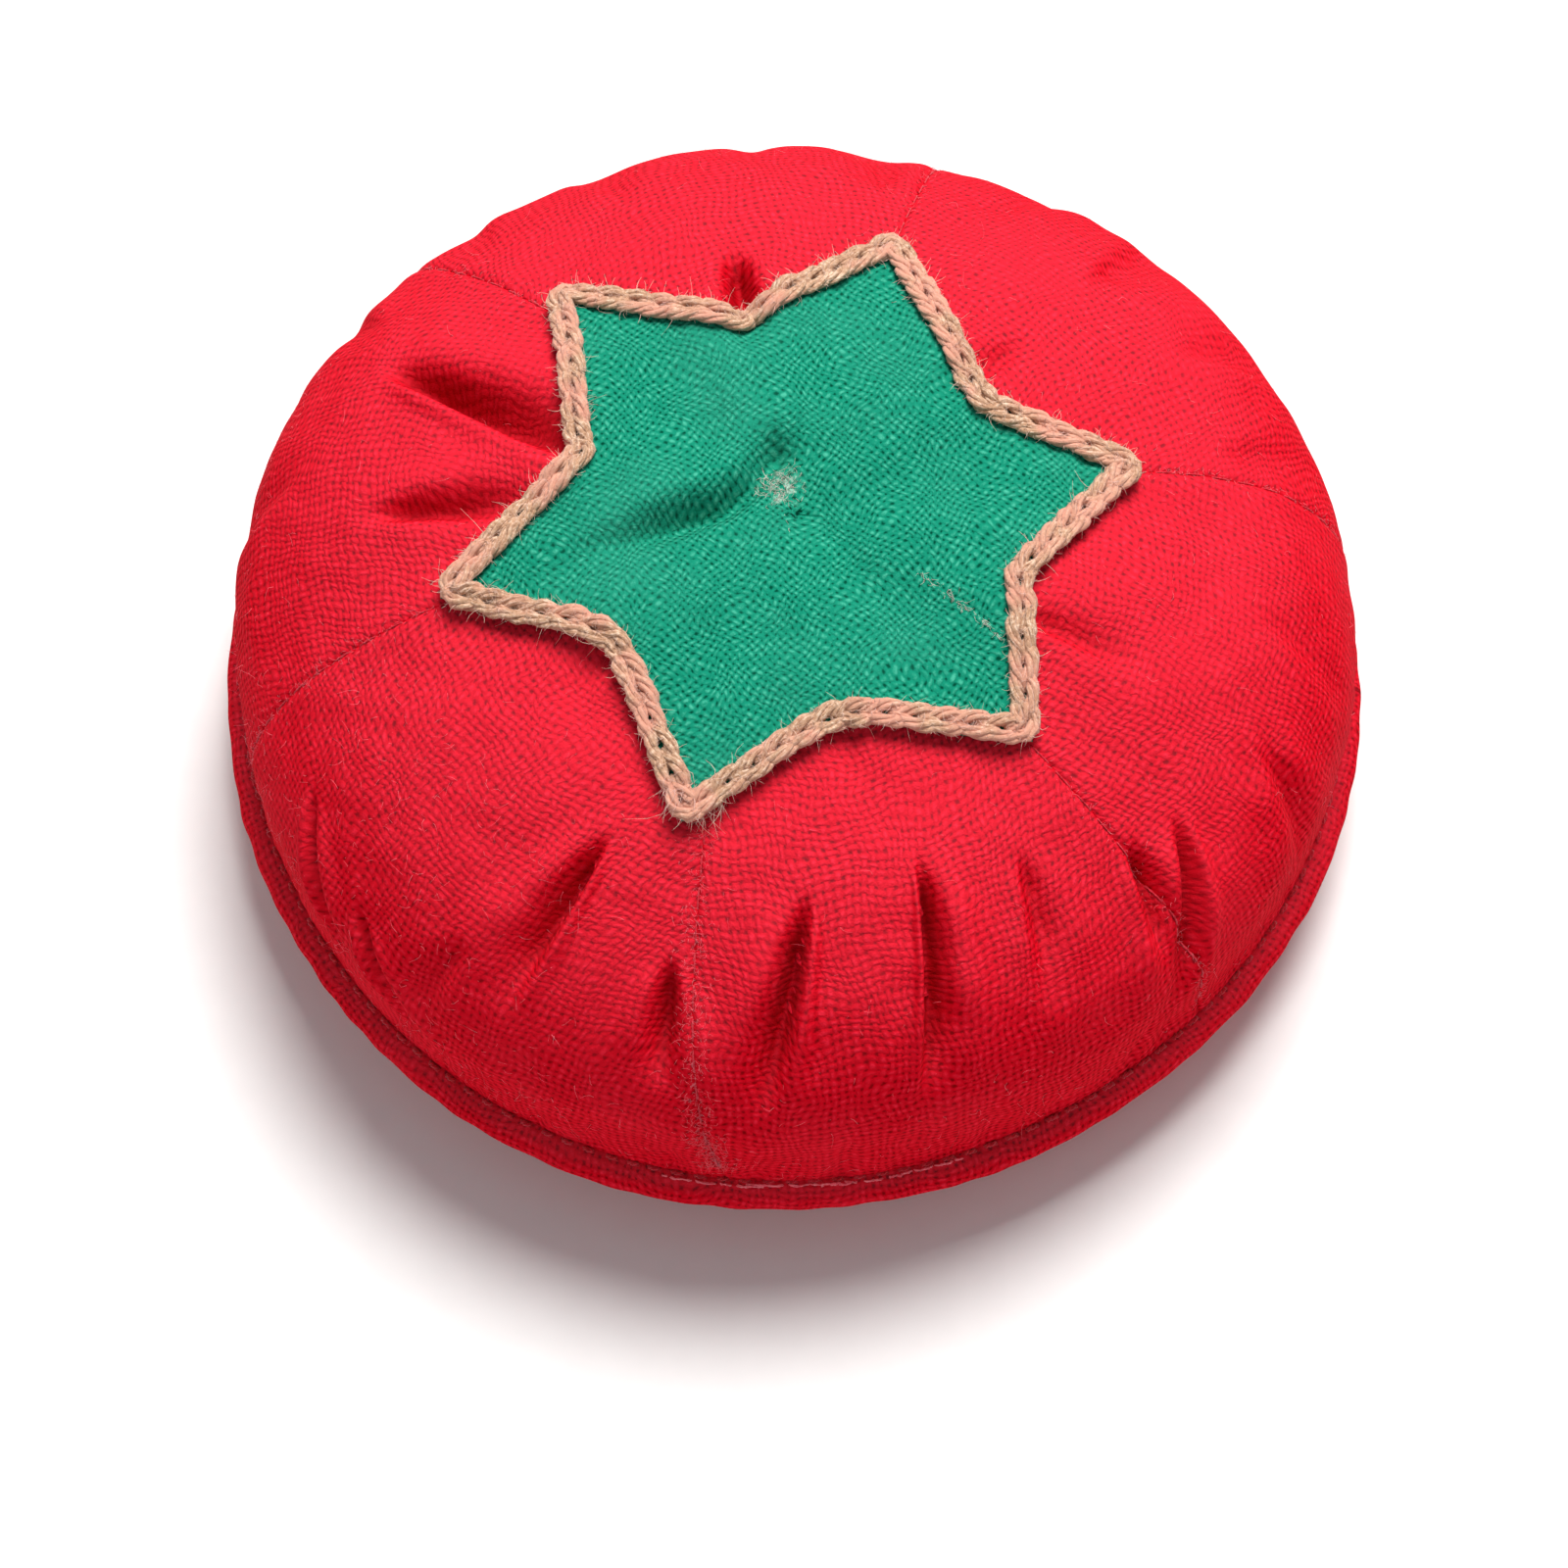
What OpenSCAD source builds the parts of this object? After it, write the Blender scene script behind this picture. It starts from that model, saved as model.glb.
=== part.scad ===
// Wrist pin cushion: a squat stuffed dome of six gathered gores with a star applique,
// closed by a base panel with a rolled rim, and carried on an elastic wristband that is
// folded flat under the base. Millimetres, +Z up, origin at the middle of the underside.

/* [Crown] */
// Largest radius of the crown, at its bulge
crown_r = 34.1; // [33.8:0.1:34.6]
// Height of the bulge above the ground
bulge_z = 13.5; // [12:0.1:15]
// Height of the crown's top before the centre stitch pulls it in
crown_top_z = 29.1; // [26:0.1:34]
// Roundness of the crown's middle, 2 is an ellipse
crown_p = 2.7; // [1.8:0.05:3]
// Roundness of the crown's shoulder, 0.5 is an ellipse
crown_q = 0.53; // [0.45:0.01:0.6]
// Thickness of the cotton cloth
cloth_t = 0.6; // [0.4:0.1:0.8]
// Number of gores in the crown
gores = 6; // [6:1:6]
// Direction of the first gore seam, anticlockwise from +X
seam_turn = 12.3; // [0:0.1:59]
// Depth of the dimple that the centre stitch pulls
dimple_d = 0.9; // [0.2:0.1:1.5]
// Radius of that dimple
dimple_r = 4.0; // [3:0.5:6]

/* [Base and rim] */
// Outer radius of the rolled rim
rim_r = 35; // [35:0.1:36]
// Half thickness of the rolled rim
rim_tube = 1.35; // [1.2:0.05:1.5]
// Height of the middle of the rolled rim
rim_z = 6.5; // [6.3:0.1:7]
// Radius of the flat part of the base, where the panel begins to curve up to the rim
flat_r = 29.5; // [29.5:0.1:30]
// Thickness of the base panel's cloth
base_t = 0.7; // [0.5:0.1:0.8]
// Thickness of the stiff pin guard
board_t = 1.2; // [0.8:0.1:1.4]
// Radius of the stiff pin guard
board_r = 29.4; // [28:0.1:29.4]
// Number of top stitches round the rim
rim_stitch_n = 156; // [120:4:180]

/* [Star] */
// Tip radius of the middle line of the braid
star_tip_r = 20.9; // [18:0.1:22]
// Notch radius of the middle line of the braid
star_notch_r = 13.4; // [11:0.1:15]
// Width of the braid
braid_w = 1.9; // [1.4:0.1:2.4]
// Height of the braid above the star's cloth
braid_h = 1.3; // [0.8:0.1:1.6]
// Thickness of the star's cloth
star_t = 0.5; // [0.3:0.1:0.7]

/* [Wristband] */
// Width of the elastic
band_w = 20; // [16:1:24]
// Thickness of the elastic
band_t = 1.3; // [1:0.1:1.5]
// Gap between the two runs of the flattened loop
band_gap = 0.4; // [0.3:0.1:0.6]
// Half length of the flattened loop
band_half = 32; // [30:0.5:32]
// Half length of the lower run's middle, which drops to open the loop
band_mid = 10; // [8:0.5:14]

/* [Threads] */
// Radius of the sewing thread
thread_r = 0.2; // [0.15:0.01:0.22]
// Number of stitches in each row that holds the band to the base
tack_n = 7; // [5:1:8]
// Distance from each end of those rows to the edge of the elastic
tack_margin = 2; // [1.5:0.5:3]

/* [Hidden] */
$fn = 96;
touch = 0.05;                             // clearance between pieces that lie on each other
band_top_z = 2 * band_t + band_gap;       // the base panel rests on the upper run
base_z = band_top_z + touch;              // underside of the base panel
roll_r = rim_r - rim_tube;                // radius of the rim roll's middle
board_z = base_z + base_t + touch;        // underside of the pin guard
hem_z = rim_z + rim_tube + touch;         // lower edge of the crown
hem_r = roll_r + 2 * touch;               // outer radius of the crown at its hem
hem_in = 1.7;                             // width of the hem turned in under the stuffing
crown_rise = crown_top_z - bulge_z;
hole_r = 0.5;                             // where the centre stitch goes through the cloth
stitch_r = 0.25;                          // radius of the centre stitch's double thread
head_r = 0.8;                             // radius of its knot
head_t = 0.3;                             // thickness of its knot
gore_deg = 360 / gores;
seam_deg = 0.6;                           // angle that a seam takes between two gores
low_steps = 5;                            // profile steps from the hem to the bulge
top_steps = 20;                           // profile steps from the bulge to the centre
last = low_steps + top_steps;
fold_r = band_t + band_gap / 2;           // outer radius of the loop's fold
fold_x = band_half - fold_r;              // where the fold begins
joint_gap = 0.02;                         // between the pieces of the band
stitch_len = 1.6;                         // length of a stitch that holds the band
tack_r = 0.8 * thread_r;                  // radius of those stitches
tack_z = band_t + band_gap - thread_r + 0.02;  // height of their middle, under the upper run
cut_over = 5;                             // how far a cutting tool goes past what it cuts
star_step = 360 / (2 * gores);            // angle from a tip of the star to the next notch
curve_steps = 12;                         // steps of the base panel's curved side
curve_deg = 75;                           // how far round its quarter curve that side goes
seam_free = 6;                            // profile steps under the star without seam thread
tack_in = 4;                              // from the band's fold to the nearer row of stitches

// Dimple that the centre stitch makes at radius r
function dimple(r) = dimple_d * exp(-pow(r / dimple_r, 2));

// Outer profile of the crown as [radius, height], from the hem up to the centre
function low_point(k) =
    [hem_r + (crown_r - hem_r) * sin(90 * k), hem_z + (bulge_z - hem_z) * k];
function top_point(k) =
    let (u = cos(90 * k))
    [crown_r * u, bulge_z + crown_rise * pow(1 - pow(u, crown_p), crown_q)
                  - dimple(crown_r * u)];
CROWN = concat([for (i = [0 : low_steps - 1]) low_point(i / low_steps)],
               [for (i = [0 : top_steps]) top_point(i / top_steps)]);

// Outward normal of the profile at point i
function profile_normal(i) =
    i == last ? [0, 1] :
    i == 0 ? [1, 0] :
    let (d = CROWN[i + 1] - CROWN[i - 1]) [d.y, -d.x] / norm(d);

// The profile moved outwards by d, from point a to point b
function moved(d, a, b) = [for (i = [a : b])
    let (p = CROWN[i] + d * profile_normal(i)) [max(p.x, 0), p.y]];
function backwards(list) = [for (i = [len(list) - 1 : -1 : 0]) list[i]];

// The layer between two offsets of the crown's outer surface, as a flat section
module layer_section(inner, outer, a = 0, b = last) {
    polygon(concat(moved(outer, a, b), backwards(moved(inner, a, b))));
}

// The same layer as a whole dome
module layer(inner, outer, a = 0) {
    rotate_extrude() layer_section(inner, outer, a);
}

// Distance from the centre to a side of the star's middle line
star_side = star_tip_r * star_notch_r * sin(star_step)
            / sqrt(pow(star_tip_r, 2) + pow(star_notch_r, 2)
                   - 2 * star_tip_r * star_notch_r * cos(star_step));

// Upright prism of the star, its sides moved outwards by d
module star_prism(d, low = bulge_z, high = crown_top_z + cut_over) {
    grow = (star_side + d) / star_side;
    translate([0, 0, low]) linear_extrude(high - low)
        polygon([for (i = [0 : 2 * gores - 1])
            let (r = grow * (i % 2 == 0 ? star_tip_r : star_notch_r),
                 a = seam_turn + star_step * i)
            [r * cos(a), r * sin(a)]]);
}

// A bent stitch: part of a thin ring of thread
module ring_stitch(radius, z, thick, degrees) {
    rotate([0, 0, -degrees / 2]) rotate_extrude(angle = degrees)
        translate([radius, z]) circle(r = thick, $fn = 16);
}

// A straight stitch along X with its middle at the origin
module bar_stitch(length, thick) {
    rotate([0, 90, 0]) cylinder(h = length, r = thick, center = true, $fn = 16);
}

// One gore of the crown with its share of the turned-in hem
module crown_gore(i) {
    color("crimson")
    rotate([0, 0, seam_turn + (i - 1) * gore_deg + seam_deg / 2])
    rotate_extrude(angle = gore_deg - seam_deg) {
        difference() {
            layer_section(-cloth_t, 0);
            translate([-cut_over, 0]) square([hole_r + cut_over, crown_top_z + cut_over]);
        }
        translate([hem_r - cloth_t - hem_in, hem_z])
            square([hem_in + cloth_t / 2, cloth_t]);
    }
}

module crown_gore_1() { crown_gore(1); }
module crown_gore_2() { crown_gore(2); }
module crown_gore_3() { crown_gore(3); }
module crown_gore_4() { crown_gore(4); }
module crown_gore_5() { crown_gore(5); }
module crown_gore_6() { crown_gore(6); }

// The lines of thread that join the gores, set a little below the cloth's face
module gore_seam_threads() {
    first = 1;
    end = last - seam_free;
    sunk = 0.1;
    thread_deg = seam_deg / 2;
    color("darkred")
    for (i = [0 : gores - 1])
        rotate([0, 0, seam_turn + i * gore_deg - thread_deg / 2])
        rotate_extrude(angle = thread_deg)
            layer_section(-cloth_t + sunk, -sunk, first, end);
}

// Running thread that draws in the crown's hem
module gather_thread() {
    color("darkred")
    rotate_extrude()
        translate([hem_r - cloth_t - hem_in / 2, hem_z + cloth_t + thread_r + touch])
        circle(r = thread_r, $fn = 24);
}

// Filling, with a step round the hem and a way through for the centre stitch
module stuffing() {
    inside = moved(-cloth_t - 2 * touch, 1, last);
    low_r = hem_r - cloth_t - hem_in - touch;
    step_z = hem_z + cloth_t + 2 * thread_r + 2 * touch;
    shell = [for (p = inside) if (p.y > step_z && p.x > hole_r) p];
    color("gainsboro")
    rotate_extrude()
        polygon(concat([[hole_r, board_z + board_t + touch],
                        [low_r, board_z + board_t + touch],
                        [low_r, step_z],
                        [shell[0].x, step_z]],
                       shell,
                       [[hole_r, inside[len(inside) - 1].y]]));
}

// Star of cotton cloth laid on the crown, its raw edge hidden under the braid
module star_applique() {
    color("seagreen")
    difference() {
        intersection() {
            layer(touch, touch + star_t, low_steps);
            star_prism(0.6);
        }
        cylinder(h = crown_top_z + cut_over, r = hole_r);
    }
}

// Chain stitched braid round the star
module star_braid() {
    color("tan")
    difference() {
        intersection() {
            layer(2 * touch + star_t, 2 * touch + star_t + braid_h, low_steps);
            star_prism(braid_w / 2);
        }
        star_prism(-braid_w / 2, bulge_z - cut_over, crown_top_z + 2 * cut_over);
    }
}

// Double thread from the pin guard up through the filling, with a flat knot on the star
module centre_stitch() {
    foot_z = board_z + board_t + touch;
    head_z = crown_top_z - dimple_d + star_t + 3 * touch;
    color("honeydew") {
        translate([0, 0, foot_z])
            cylinder(h = head_z + head_t / 2 - foot_z, r = stitch_r, $fn = 24);
        translate([0, 0, head_z])
            cylinder(h = head_t, r1 = head_r, r2 = head_r - head_t, $fn = 24);
    }
}

// Quarter curve from the flat of the base panel up to the rim, shrunk inwards by d
function side_curve(d) =
    [for (i = [0 : curve_steps])
        let (a = curve_deg * i / curve_steps)
        [flat_r + (rim_r - rim_tube / 2 - flat_r - d) * sin(a),
         rim_z - (rim_z - base_z - d) * cos(a)]];

// Base panel: flat in the middle, its sides curved up and its edge rolled into the rim
module base_panel() {
    color("firebrick")
    rotate_extrude() {
        translate([0, base_z]) square([flat_r + touch, base_t]);
        polygon(concat(side_curve(0), backwards(side_curve(base_t))));
        translate([roll_r, rim_z]) circle(r = rim_tube, $fn = 48);
    }
}

// Stiff disc that keeps pin points off the wrist
module base_board() {
    color("beige")
    translate([0, 0, board_z]) cylinder(h = board_t, r = board_r);
}

// Top stitches in the groove between the crown and the rim
module rim_stitches() {
    pitch = 360 / rim_stitch_n;
    color("darkred")
    for (i = [0 : rim_stitch_n - 1])
        rotate([0, 0, i * pitch])
        ring_stitch(hem_r + thread_r + touch, hem_z + thread_r, thread_r, 0.6 * pitch);
}

// A flat run of the elastic between two places along X
module band_run(from, to, z) {
    translate([from, -band_w / 2, z]) cube([to - from, band_w, band_t]);
}

// Upper run of the loop, sewn to the base panel
module wristband_top() {
    color("antiquewhite") band_run(-fold_x, fold_x, band_t + band_gap);
}

// Fold at one end of the loop with the outer part of the lower run, on the +X side
module band_side() {
    color("antiquewhite") {
        band_run(band_mid + joint_gap, fold_x + joint_gap, 0);
        translate([fold_x + joint_gap, band_w / 2, fold_r])
            rotate([90, 0, 0])
            linear_extrude(band_w)
            difference() {
                circle(r = fold_r, $fn = 48);
                circle(r = band_gap / 2, $fn = 24);
                translate([-2 * fold_r, -2 * fold_r]) square([2 * fold_r, 4 * fold_r]);
            }
    }
}

module wristband_side_right() { band_side(); }
module wristband_side_left() { mirror([1, 0, 0]) band_side(); }

// Middle of the lower run, which drops away when a hand goes through the loop
module wristband_bottom() {
    color("antiquewhite") band_run(-band_mid, band_mid, 0);
}

// A row of places across the band, one for each stitch
function tack_row() =
    [for (i = [0 : tack_n - 1])
        (band_w / 2 - tack_margin) * (2 * i / (tack_n - 1) - 1)];

// Rows of stitches that hold the upper run to the base panel
module band_tack_stitches() {
    row_x = fold_x - tack_in;
    color("ivory")
    for (side = [-1, 1])
        for (y = tack_row())
            translate([side * row_x, y, tack_z])
            rotate([0, 0, 90]) bar_stitch(stitch_len, tack_r);
}

// Row of stitches that joins the two ends of the elastic into a loop
module band_join_stitches() {
    color("ivory")
    for (y = tack_row())
        translate([0, y, tack_z]) bar_stitch(stitch_len, tack_r);
}

crown_gore_1();
crown_gore_2();
crown_gore_3();
crown_gore_4();
crown_gore_5();
crown_gore_6();
gore_seam_threads();
gather_thread();
stuffing();
star_applique();
star_braid();
centre_stitch();
base_panel();
base_board();
rim_stitches();
wristband_top();
wristband_side_left();
wristband_side_right();
wristband_bottom();
band_tack_stitches();
band_join_stitches();
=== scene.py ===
import math

import bpy
import numpy as np
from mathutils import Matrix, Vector
from mathutils.bvhtree import BVHTree


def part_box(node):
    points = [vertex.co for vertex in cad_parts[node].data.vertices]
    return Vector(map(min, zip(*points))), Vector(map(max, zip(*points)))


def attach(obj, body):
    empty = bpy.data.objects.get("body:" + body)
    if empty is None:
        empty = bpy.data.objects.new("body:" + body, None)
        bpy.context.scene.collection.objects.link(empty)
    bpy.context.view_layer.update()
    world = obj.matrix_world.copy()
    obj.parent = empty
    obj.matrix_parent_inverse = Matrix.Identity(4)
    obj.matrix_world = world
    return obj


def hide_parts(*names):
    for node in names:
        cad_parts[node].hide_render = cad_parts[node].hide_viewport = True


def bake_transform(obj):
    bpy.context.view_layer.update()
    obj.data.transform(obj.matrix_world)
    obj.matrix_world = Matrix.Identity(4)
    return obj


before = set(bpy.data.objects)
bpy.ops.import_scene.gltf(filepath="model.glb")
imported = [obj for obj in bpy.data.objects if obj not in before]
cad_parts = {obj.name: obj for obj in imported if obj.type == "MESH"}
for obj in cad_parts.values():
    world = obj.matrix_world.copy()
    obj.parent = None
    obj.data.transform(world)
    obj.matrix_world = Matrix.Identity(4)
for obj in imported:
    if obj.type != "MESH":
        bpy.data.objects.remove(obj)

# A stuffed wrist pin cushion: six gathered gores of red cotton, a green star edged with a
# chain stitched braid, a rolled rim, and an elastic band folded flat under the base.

MM = 0.001
UP = np.array([0.0, 0.0, 1.0])
SIDEWAYS = np.array([1.0, 0.0, 0.0])
CUSHION = "cushion"
LOWER_RUN = "band_lower_run"
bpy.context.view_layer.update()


# ---------------------------------------------------------------- sizes from the frame

def node_points(node):
    """The vertices of a CAD node, as an array."""
    return np.array([v.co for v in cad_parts[node].data.vertices], float)


def radii(points):
    return np.hypot(points[:, 0], points[:, 1])


GORES = ["crown_gore_%d" % i for i in range(1, 7)]
RIM_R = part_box("base_panel")[1].x
BASE_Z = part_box("base_panel")[0].z
RIM_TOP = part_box("base_panel")[1].z
BOARD_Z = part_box("base_board")[1].z
base_points = node_points("base_panel")
RIM_MID = base_points[radii(base_points) > RIM_R - 0.02 * MM][:, 2].mean()
RIM_TUBE = RIM_TOP - RIM_MID
ROLL_R = RIM_R - RIM_TUBE
FLAT_R = radii(base_points[base_points[:, 2] < BASE_Z + 0.005 * MM]).max()

gore_points = np.concatenate([node_points(n) for n in GORES])
CROWN_R = radii(gore_points).max()
BULGE_Z = gore_points[radii(gore_points) > CROWN_R - 0.01 * MM][:, 2].mean()
HEM_Z = gore_points[:, 2].min()
HEM_R = radii(gore_points[gore_points[:, 2] < HEM_Z + 0.05 * MM]).max()
TOP_Z = gore_points[:, 2].max() + 0.16 * MM

STAR_TURN = 12.3                       # azimuth of the star's first tip, in degrees
BRAID_REACH = 1.078                    # the braid's outer radius, in radii of its middle line
STAR_TIP = radii(node_points("star_braid")).max() / BRAID_REACH
STAR_NOTCH = STAR_TIP * 0.641

BAND_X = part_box("wristband_side_right")[1].x
BAND_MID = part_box("wristband_bottom")[1].x
BAND_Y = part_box("wristband_bottom")[1].y
BAND_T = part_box("wristband_bottom")[1].z
BAND_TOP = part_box("wristband_top")[1].z
FOLD_R = BAND_TOP / 2
FOLD_X = BAND_X - FOLD_R


# ---------------------------------------------------------------- mesh helpers

def make_mesh(name, verts, faces, uv=None, smooth=True):
    """A mesh object from arrays; uv holds one pair for each vertex, in millimetres."""
    mesh = bpy.data.meshes.new(name)
    mesh.from_pydata(verts.tolist(), [], faces)
    mesh.validate()
    if uv is not None:
        layer = mesh.uv_layers.new(name="cloth")
        corner = np.empty(len(mesh.loops), np.int64)
        mesh.loops.foreach_get("vertex_index", corner)
        layer.data.foreach_set("uv", uv[corner].astype(np.float32).ravel())
    mesh.polygons.foreach_set("use_smooth", [smooth] * len(mesh.polygons))
    mesh.update()
    obj = bpy.data.objects.new(name, mesh)
    bpy.context.scene.collection.objects.link(obj)
    return obj


def grid_faces(rows, cols, start=0, wrap=False, flip=False):
    """Quads of a grid of rows x cols vertices; wrap joins the last column to the first."""
    r = np.arange(rows - 1)[:, None]
    c = np.arange(cols if wrap else cols - 1)[None, :]
    d = (c + 1) % cols
    quads = np.stack([r * cols + c, r * cols + d, (r + 1) * cols + d, (r + 1) * cols + c], -1)
    quads = quads.reshape(-1, 4) + start
    return (quads[:, ::-1] if flip else quads).tolist()


def edge_ring(rows, cols):
    """The vertices round the edge of a grid, in order."""
    return ([c for c in range(cols)] + [r * cols + cols - 1 for r in range(1, rows)]
            + [(rows - 1) * cols + c for c in range(cols - 2, -1, -1)]
            + [r * cols for r in range(rows - 2, 0, -1)])


def edge_strip(ring, low_ring, skip=1):
    """Faces that join a sheet's fine edge to the coarser edge of its hidden face."""
    faces = []
    for k, low in enumerate(low_ring):
        outer = [ring[(k * skip + i) % len(ring)] for i in range(skip + 1)]
        faces.append(outer[::-1] + [low, low_ring[(k + 1) % len(low_ring)]])
    return faces


def fan(centre, start, count, flip=False):
    """Triangles between a centre vertex and a ring of vertices."""
    ring = [(start + k, start + (k + 1) % count) for k in range(count)]
    return [[centre, *(pair[::-1] if flip else pair)] for pair in ring]


def closed_sheet(name, top, bottom, uv, skip=1):
    """A sheet with two faces and a closed edge; the hidden face may be skip times coarser."""
    rows, cols = top.shape[:2]
    n = rows * cols
    bottom, under_uv = bottom[::skip, ::skip], uv[::skip, ::skip]
    low_rows, low_cols = bottom.shape[:2]
    verts = np.concatenate([top.reshape(-1, 3), bottom.reshape(-1, 3)])
    faces = grid_faces(rows, cols) + grid_faces(low_rows, low_cols, n, flip=True)
    low_ring = [k + n for k in edge_ring(low_rows, low_cols)]
    faces += edge_strip(edge_ring(rows, cols), low_ring, skip)
    both = np.concatenate([uv.reshape(-1, 2), under_uv.reshape(-1, 2)])
    return make_mesh(name, verts, faces, both)


def unit(v):
    return v / np.maximum(np.linalg.norm(v, axis=-1, keepdims=True), 1e-12)


def places(x, y, z):
    """Arrays or numbers of x, y and z as one array of places."""
    return np.stack(np.broadcast_arrays(x, y, z), -1)


def polar(r, a, z):
    """Places or directions at a radius, an angle in radians and a height."""
    return places(r * np.cos(a), r * np.sin(a), z)


def turned_by(theta, azimuth):
    """How far theta has turned from an azimuth: degrees in, radians out."""
    return (np.mod(theta - azimuth + 180, 360) - 180) * math.pi / 180


def run_length(paths):
    """The distance along each path from its first point."""
    step = np.linalg.norm(np.diff(paths, axis=-2), axis=-1)
    return np.concatenate([np.zeros(step.shape[:-1] + (1,)), np.cumsum(step, -1)], -1)


def sides_of(paths, up, closed):
    """Two directions across each path, one of them near up."""
    if closed:
        along = np.roll(paths, -1, 1) - np.roll(paths, 1, 1)
    else:
        along = np.gradient(paths, axis=1)
    across = unit(np.cross(along, up))
    return across, unit(np.cross(across, along))


def tubes(paths, radius, up, sides=6, closed=False):
    """Tubes along paths (count, steps, 3) as vertices and faces. An open end is capped."""
    count, steps = paths.shape[:2]
    across, over = sides_of(paths, up, closed)
    turn = np.linspace(0, 2 * math.pi, sides, endpoint=False)
    ring = (across[:, :, None] * np.cos(turn)[:, None]
            + over[:, :, None] * np.sin(turn)[:, None])
    radius = np.broadcast_to(np.asarray(radius, float), (count, steps))
    verts = (paths[:, :, None] + ring * radius[:, :, None, None]).reshape(-1, 3)
    length = run_length(paths)[:, :, None]
    around = turn * radius[:, :, None] + np.arange(count)[:, None, None] * 3 * MM
    uv = np.stack([length + 0 * around, around], -1).reshape(-1, 2) / MM
    faces = []
    for i in range(count):
        start = i * steps * sides
        body = grid_faces(steps, sides, start, wrap=True, flip=True)
        if closed:
            last = start + (steps - 1) * sides
            for k in range(sides):
                m = (k + 1) % sides
                body.append([start + k, start + m, last + m, last + k])
        else:
            body.append([start + k for k in range(sides)])
            body.append([start + (steps - 1) * sides + k for k in reversed(range(sides))])
        faces += body
    return verts, faces, uv


def joined(parts):
    """Several (vertices, faces, uv) as one."""
    verts, faces, uvs, start = [], [], [], 0
    for v, f, uv in parts:
        verts.append(v)
        uvs.append(uv)
        faces += [[k + start for k in face] for face in f]
        start += len(v)
    return np.concatenate(verts), faces, np.concatenate(uvs)


def twisted(paths, yarn_r, up, turns_mm, plies=2, sides=6, closed=False, taper=None, flat=1.0):
    """Plied yarn along each path: each ply winds once every turns_mm millimetres."""
    across, over = sides_of(paths, up, closed)
    length = run_length(paths)
    if closed:
        whole = np.linalg.norm(paths[:, 0] - paths[:, -1], axis=1) + length[:, -1]
        angle = 2 * math.pi * length / whole[:, None]
        angle = angle * np.maximum(1, np.round(whole / (turns_mm * MM)))[:, None]
    else:
        angle = 2 * math.pi * length / (turns_mm * MM)
    ply_r = yarn_r / (1 + 1 / math.sin(math.pi / plies)) * 1.12
    parts = []
    taper = np.ones(paths.shape[:2]) if taper is None else np.broadcast_to(taper, paths.shape[:2])
    for k in range(plies):
        a = (angle + 2 * math.pi * k / plies)[:, :, None]
        swing = (across * np.cos(a) + over * np.sin(a) * flat) * taper[:, :, None]
        parts.append(tubes(paths + swing * (yarn_r - ply_r), ply_r * taper, up, sides, closed))
    return joined(parts)


def ripple(points, wavelength, seed, waves=16):
    """Smooth noise of about -1 to 1: a sum of cosines in random directions."""
    rng = np.random.default_rng(seed)
    direction = unit(rng.normal(size=(waves, 3)))
    wave = 2 * math.pi / (wavelength * rng.uniform(0.7, 1.4, waves))
    phase = rng.uniform(0, 2 * math.pi, waves)
    angle = points @ (direction * wave[:, None]).T + phase
    return np.cos(angle).sum(-1) * math.sqrt(2 / waves) * 0.6


def bell(x, width):
    return np.exp(-np.square(x / width))


def smooth_step(x, low, high):
    t = np.clip((x - low) / (high - low), 0, 1)
    return t * t * (3 - 2 * t)


# ---------------------------------------------------------------- the crown's surface

CROWN_P = 2.7                          # roundness of the crown's middle and shoulder
CROWN_Q = 0.53
RIM_STITCHES = 156                     # top stitches round the rim
STAR_EDGE = (16, 22)                   # the crown comes out from under the star, mm down it


def crown_profile(t):
    """Radius and height of the crown's section: t is 0 at the hem, 1 at the bulge, 2 on top."""
    low, high = np.clip(t, -1, 1), np.clip(t - 1, 0, 1)
    u = np.cos(math.pi / 2 * high)
    radius = np.where(t < 1, HEM_R + (CROWN_R - HEM_R) * np.sin(math.pi / 2 * low), CROWN_R * u)
    rise = np.power(np.maximum(1 - np.power(u, CROWN_P), 0), CROWN_Q)
    height = np.where(t < 1, HEM_Z + (BULGE_Z - HEM_Z) * low, BULGE_Z + (TOP_Z - BULGE_Z) * rise)
    return radius, height


TUCK_T = 0.14                          # the hem goes on down behind the rim's roll
SECTION_T = np.linspace(2, -TUCK_T, 2141)
SECTION_R, SECTION_Z = crown_profile(SECTION_T)
SECTION_S = np.concatenate([[0], np.cumsum(np.hypot(np.diff(SECTION_R), np.diff(SECTION_Z)))])
SECTION_S = SECTION_S / MM             # distance down the cloth from the top, in millimetres
HEM_S = np.interp(0, -SECTION_T, SECTION_S)
TUCKED_S = SECTION_S[-1]


def section(s):
    """Radius, height and outward normal (out, up) at a distance s mm down the cloth."""
    r = np.interp(s, SECTION_S, SECTION_R)
    z = np.interp(s, SECTION_S, SECTION_Z)
    step = 0.3
    dr = np.interp(s + step, SECTION_S, SECTION_R) - np.interp(s - step, SECTION_S, SECTION_R)
    dz = np.interp(s + step, SECTION_S, SECTION_Z) - np.interp(s - step, SECTION_S, SECTION_Z)
    size = np.maximum(np.hypot(dr, dz), 1e-9)
    return r, z, -dz / size, dr / size


# Degrees that each gore's seam has turned by the time it meets the hem
SEAM_TURNS = [-3, 2, 4, 3, 11, 5]


def seam_azimuth(k, s):
    """Azimuth in degrees of seam k at a distance s down the cloth."""
    turned = SEAM_TURNS[k % 6] * np.clip((s - 8) / (HEM_S - 8), 0, 1)
    return STAR_TURN + 60 * k + turned


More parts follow.
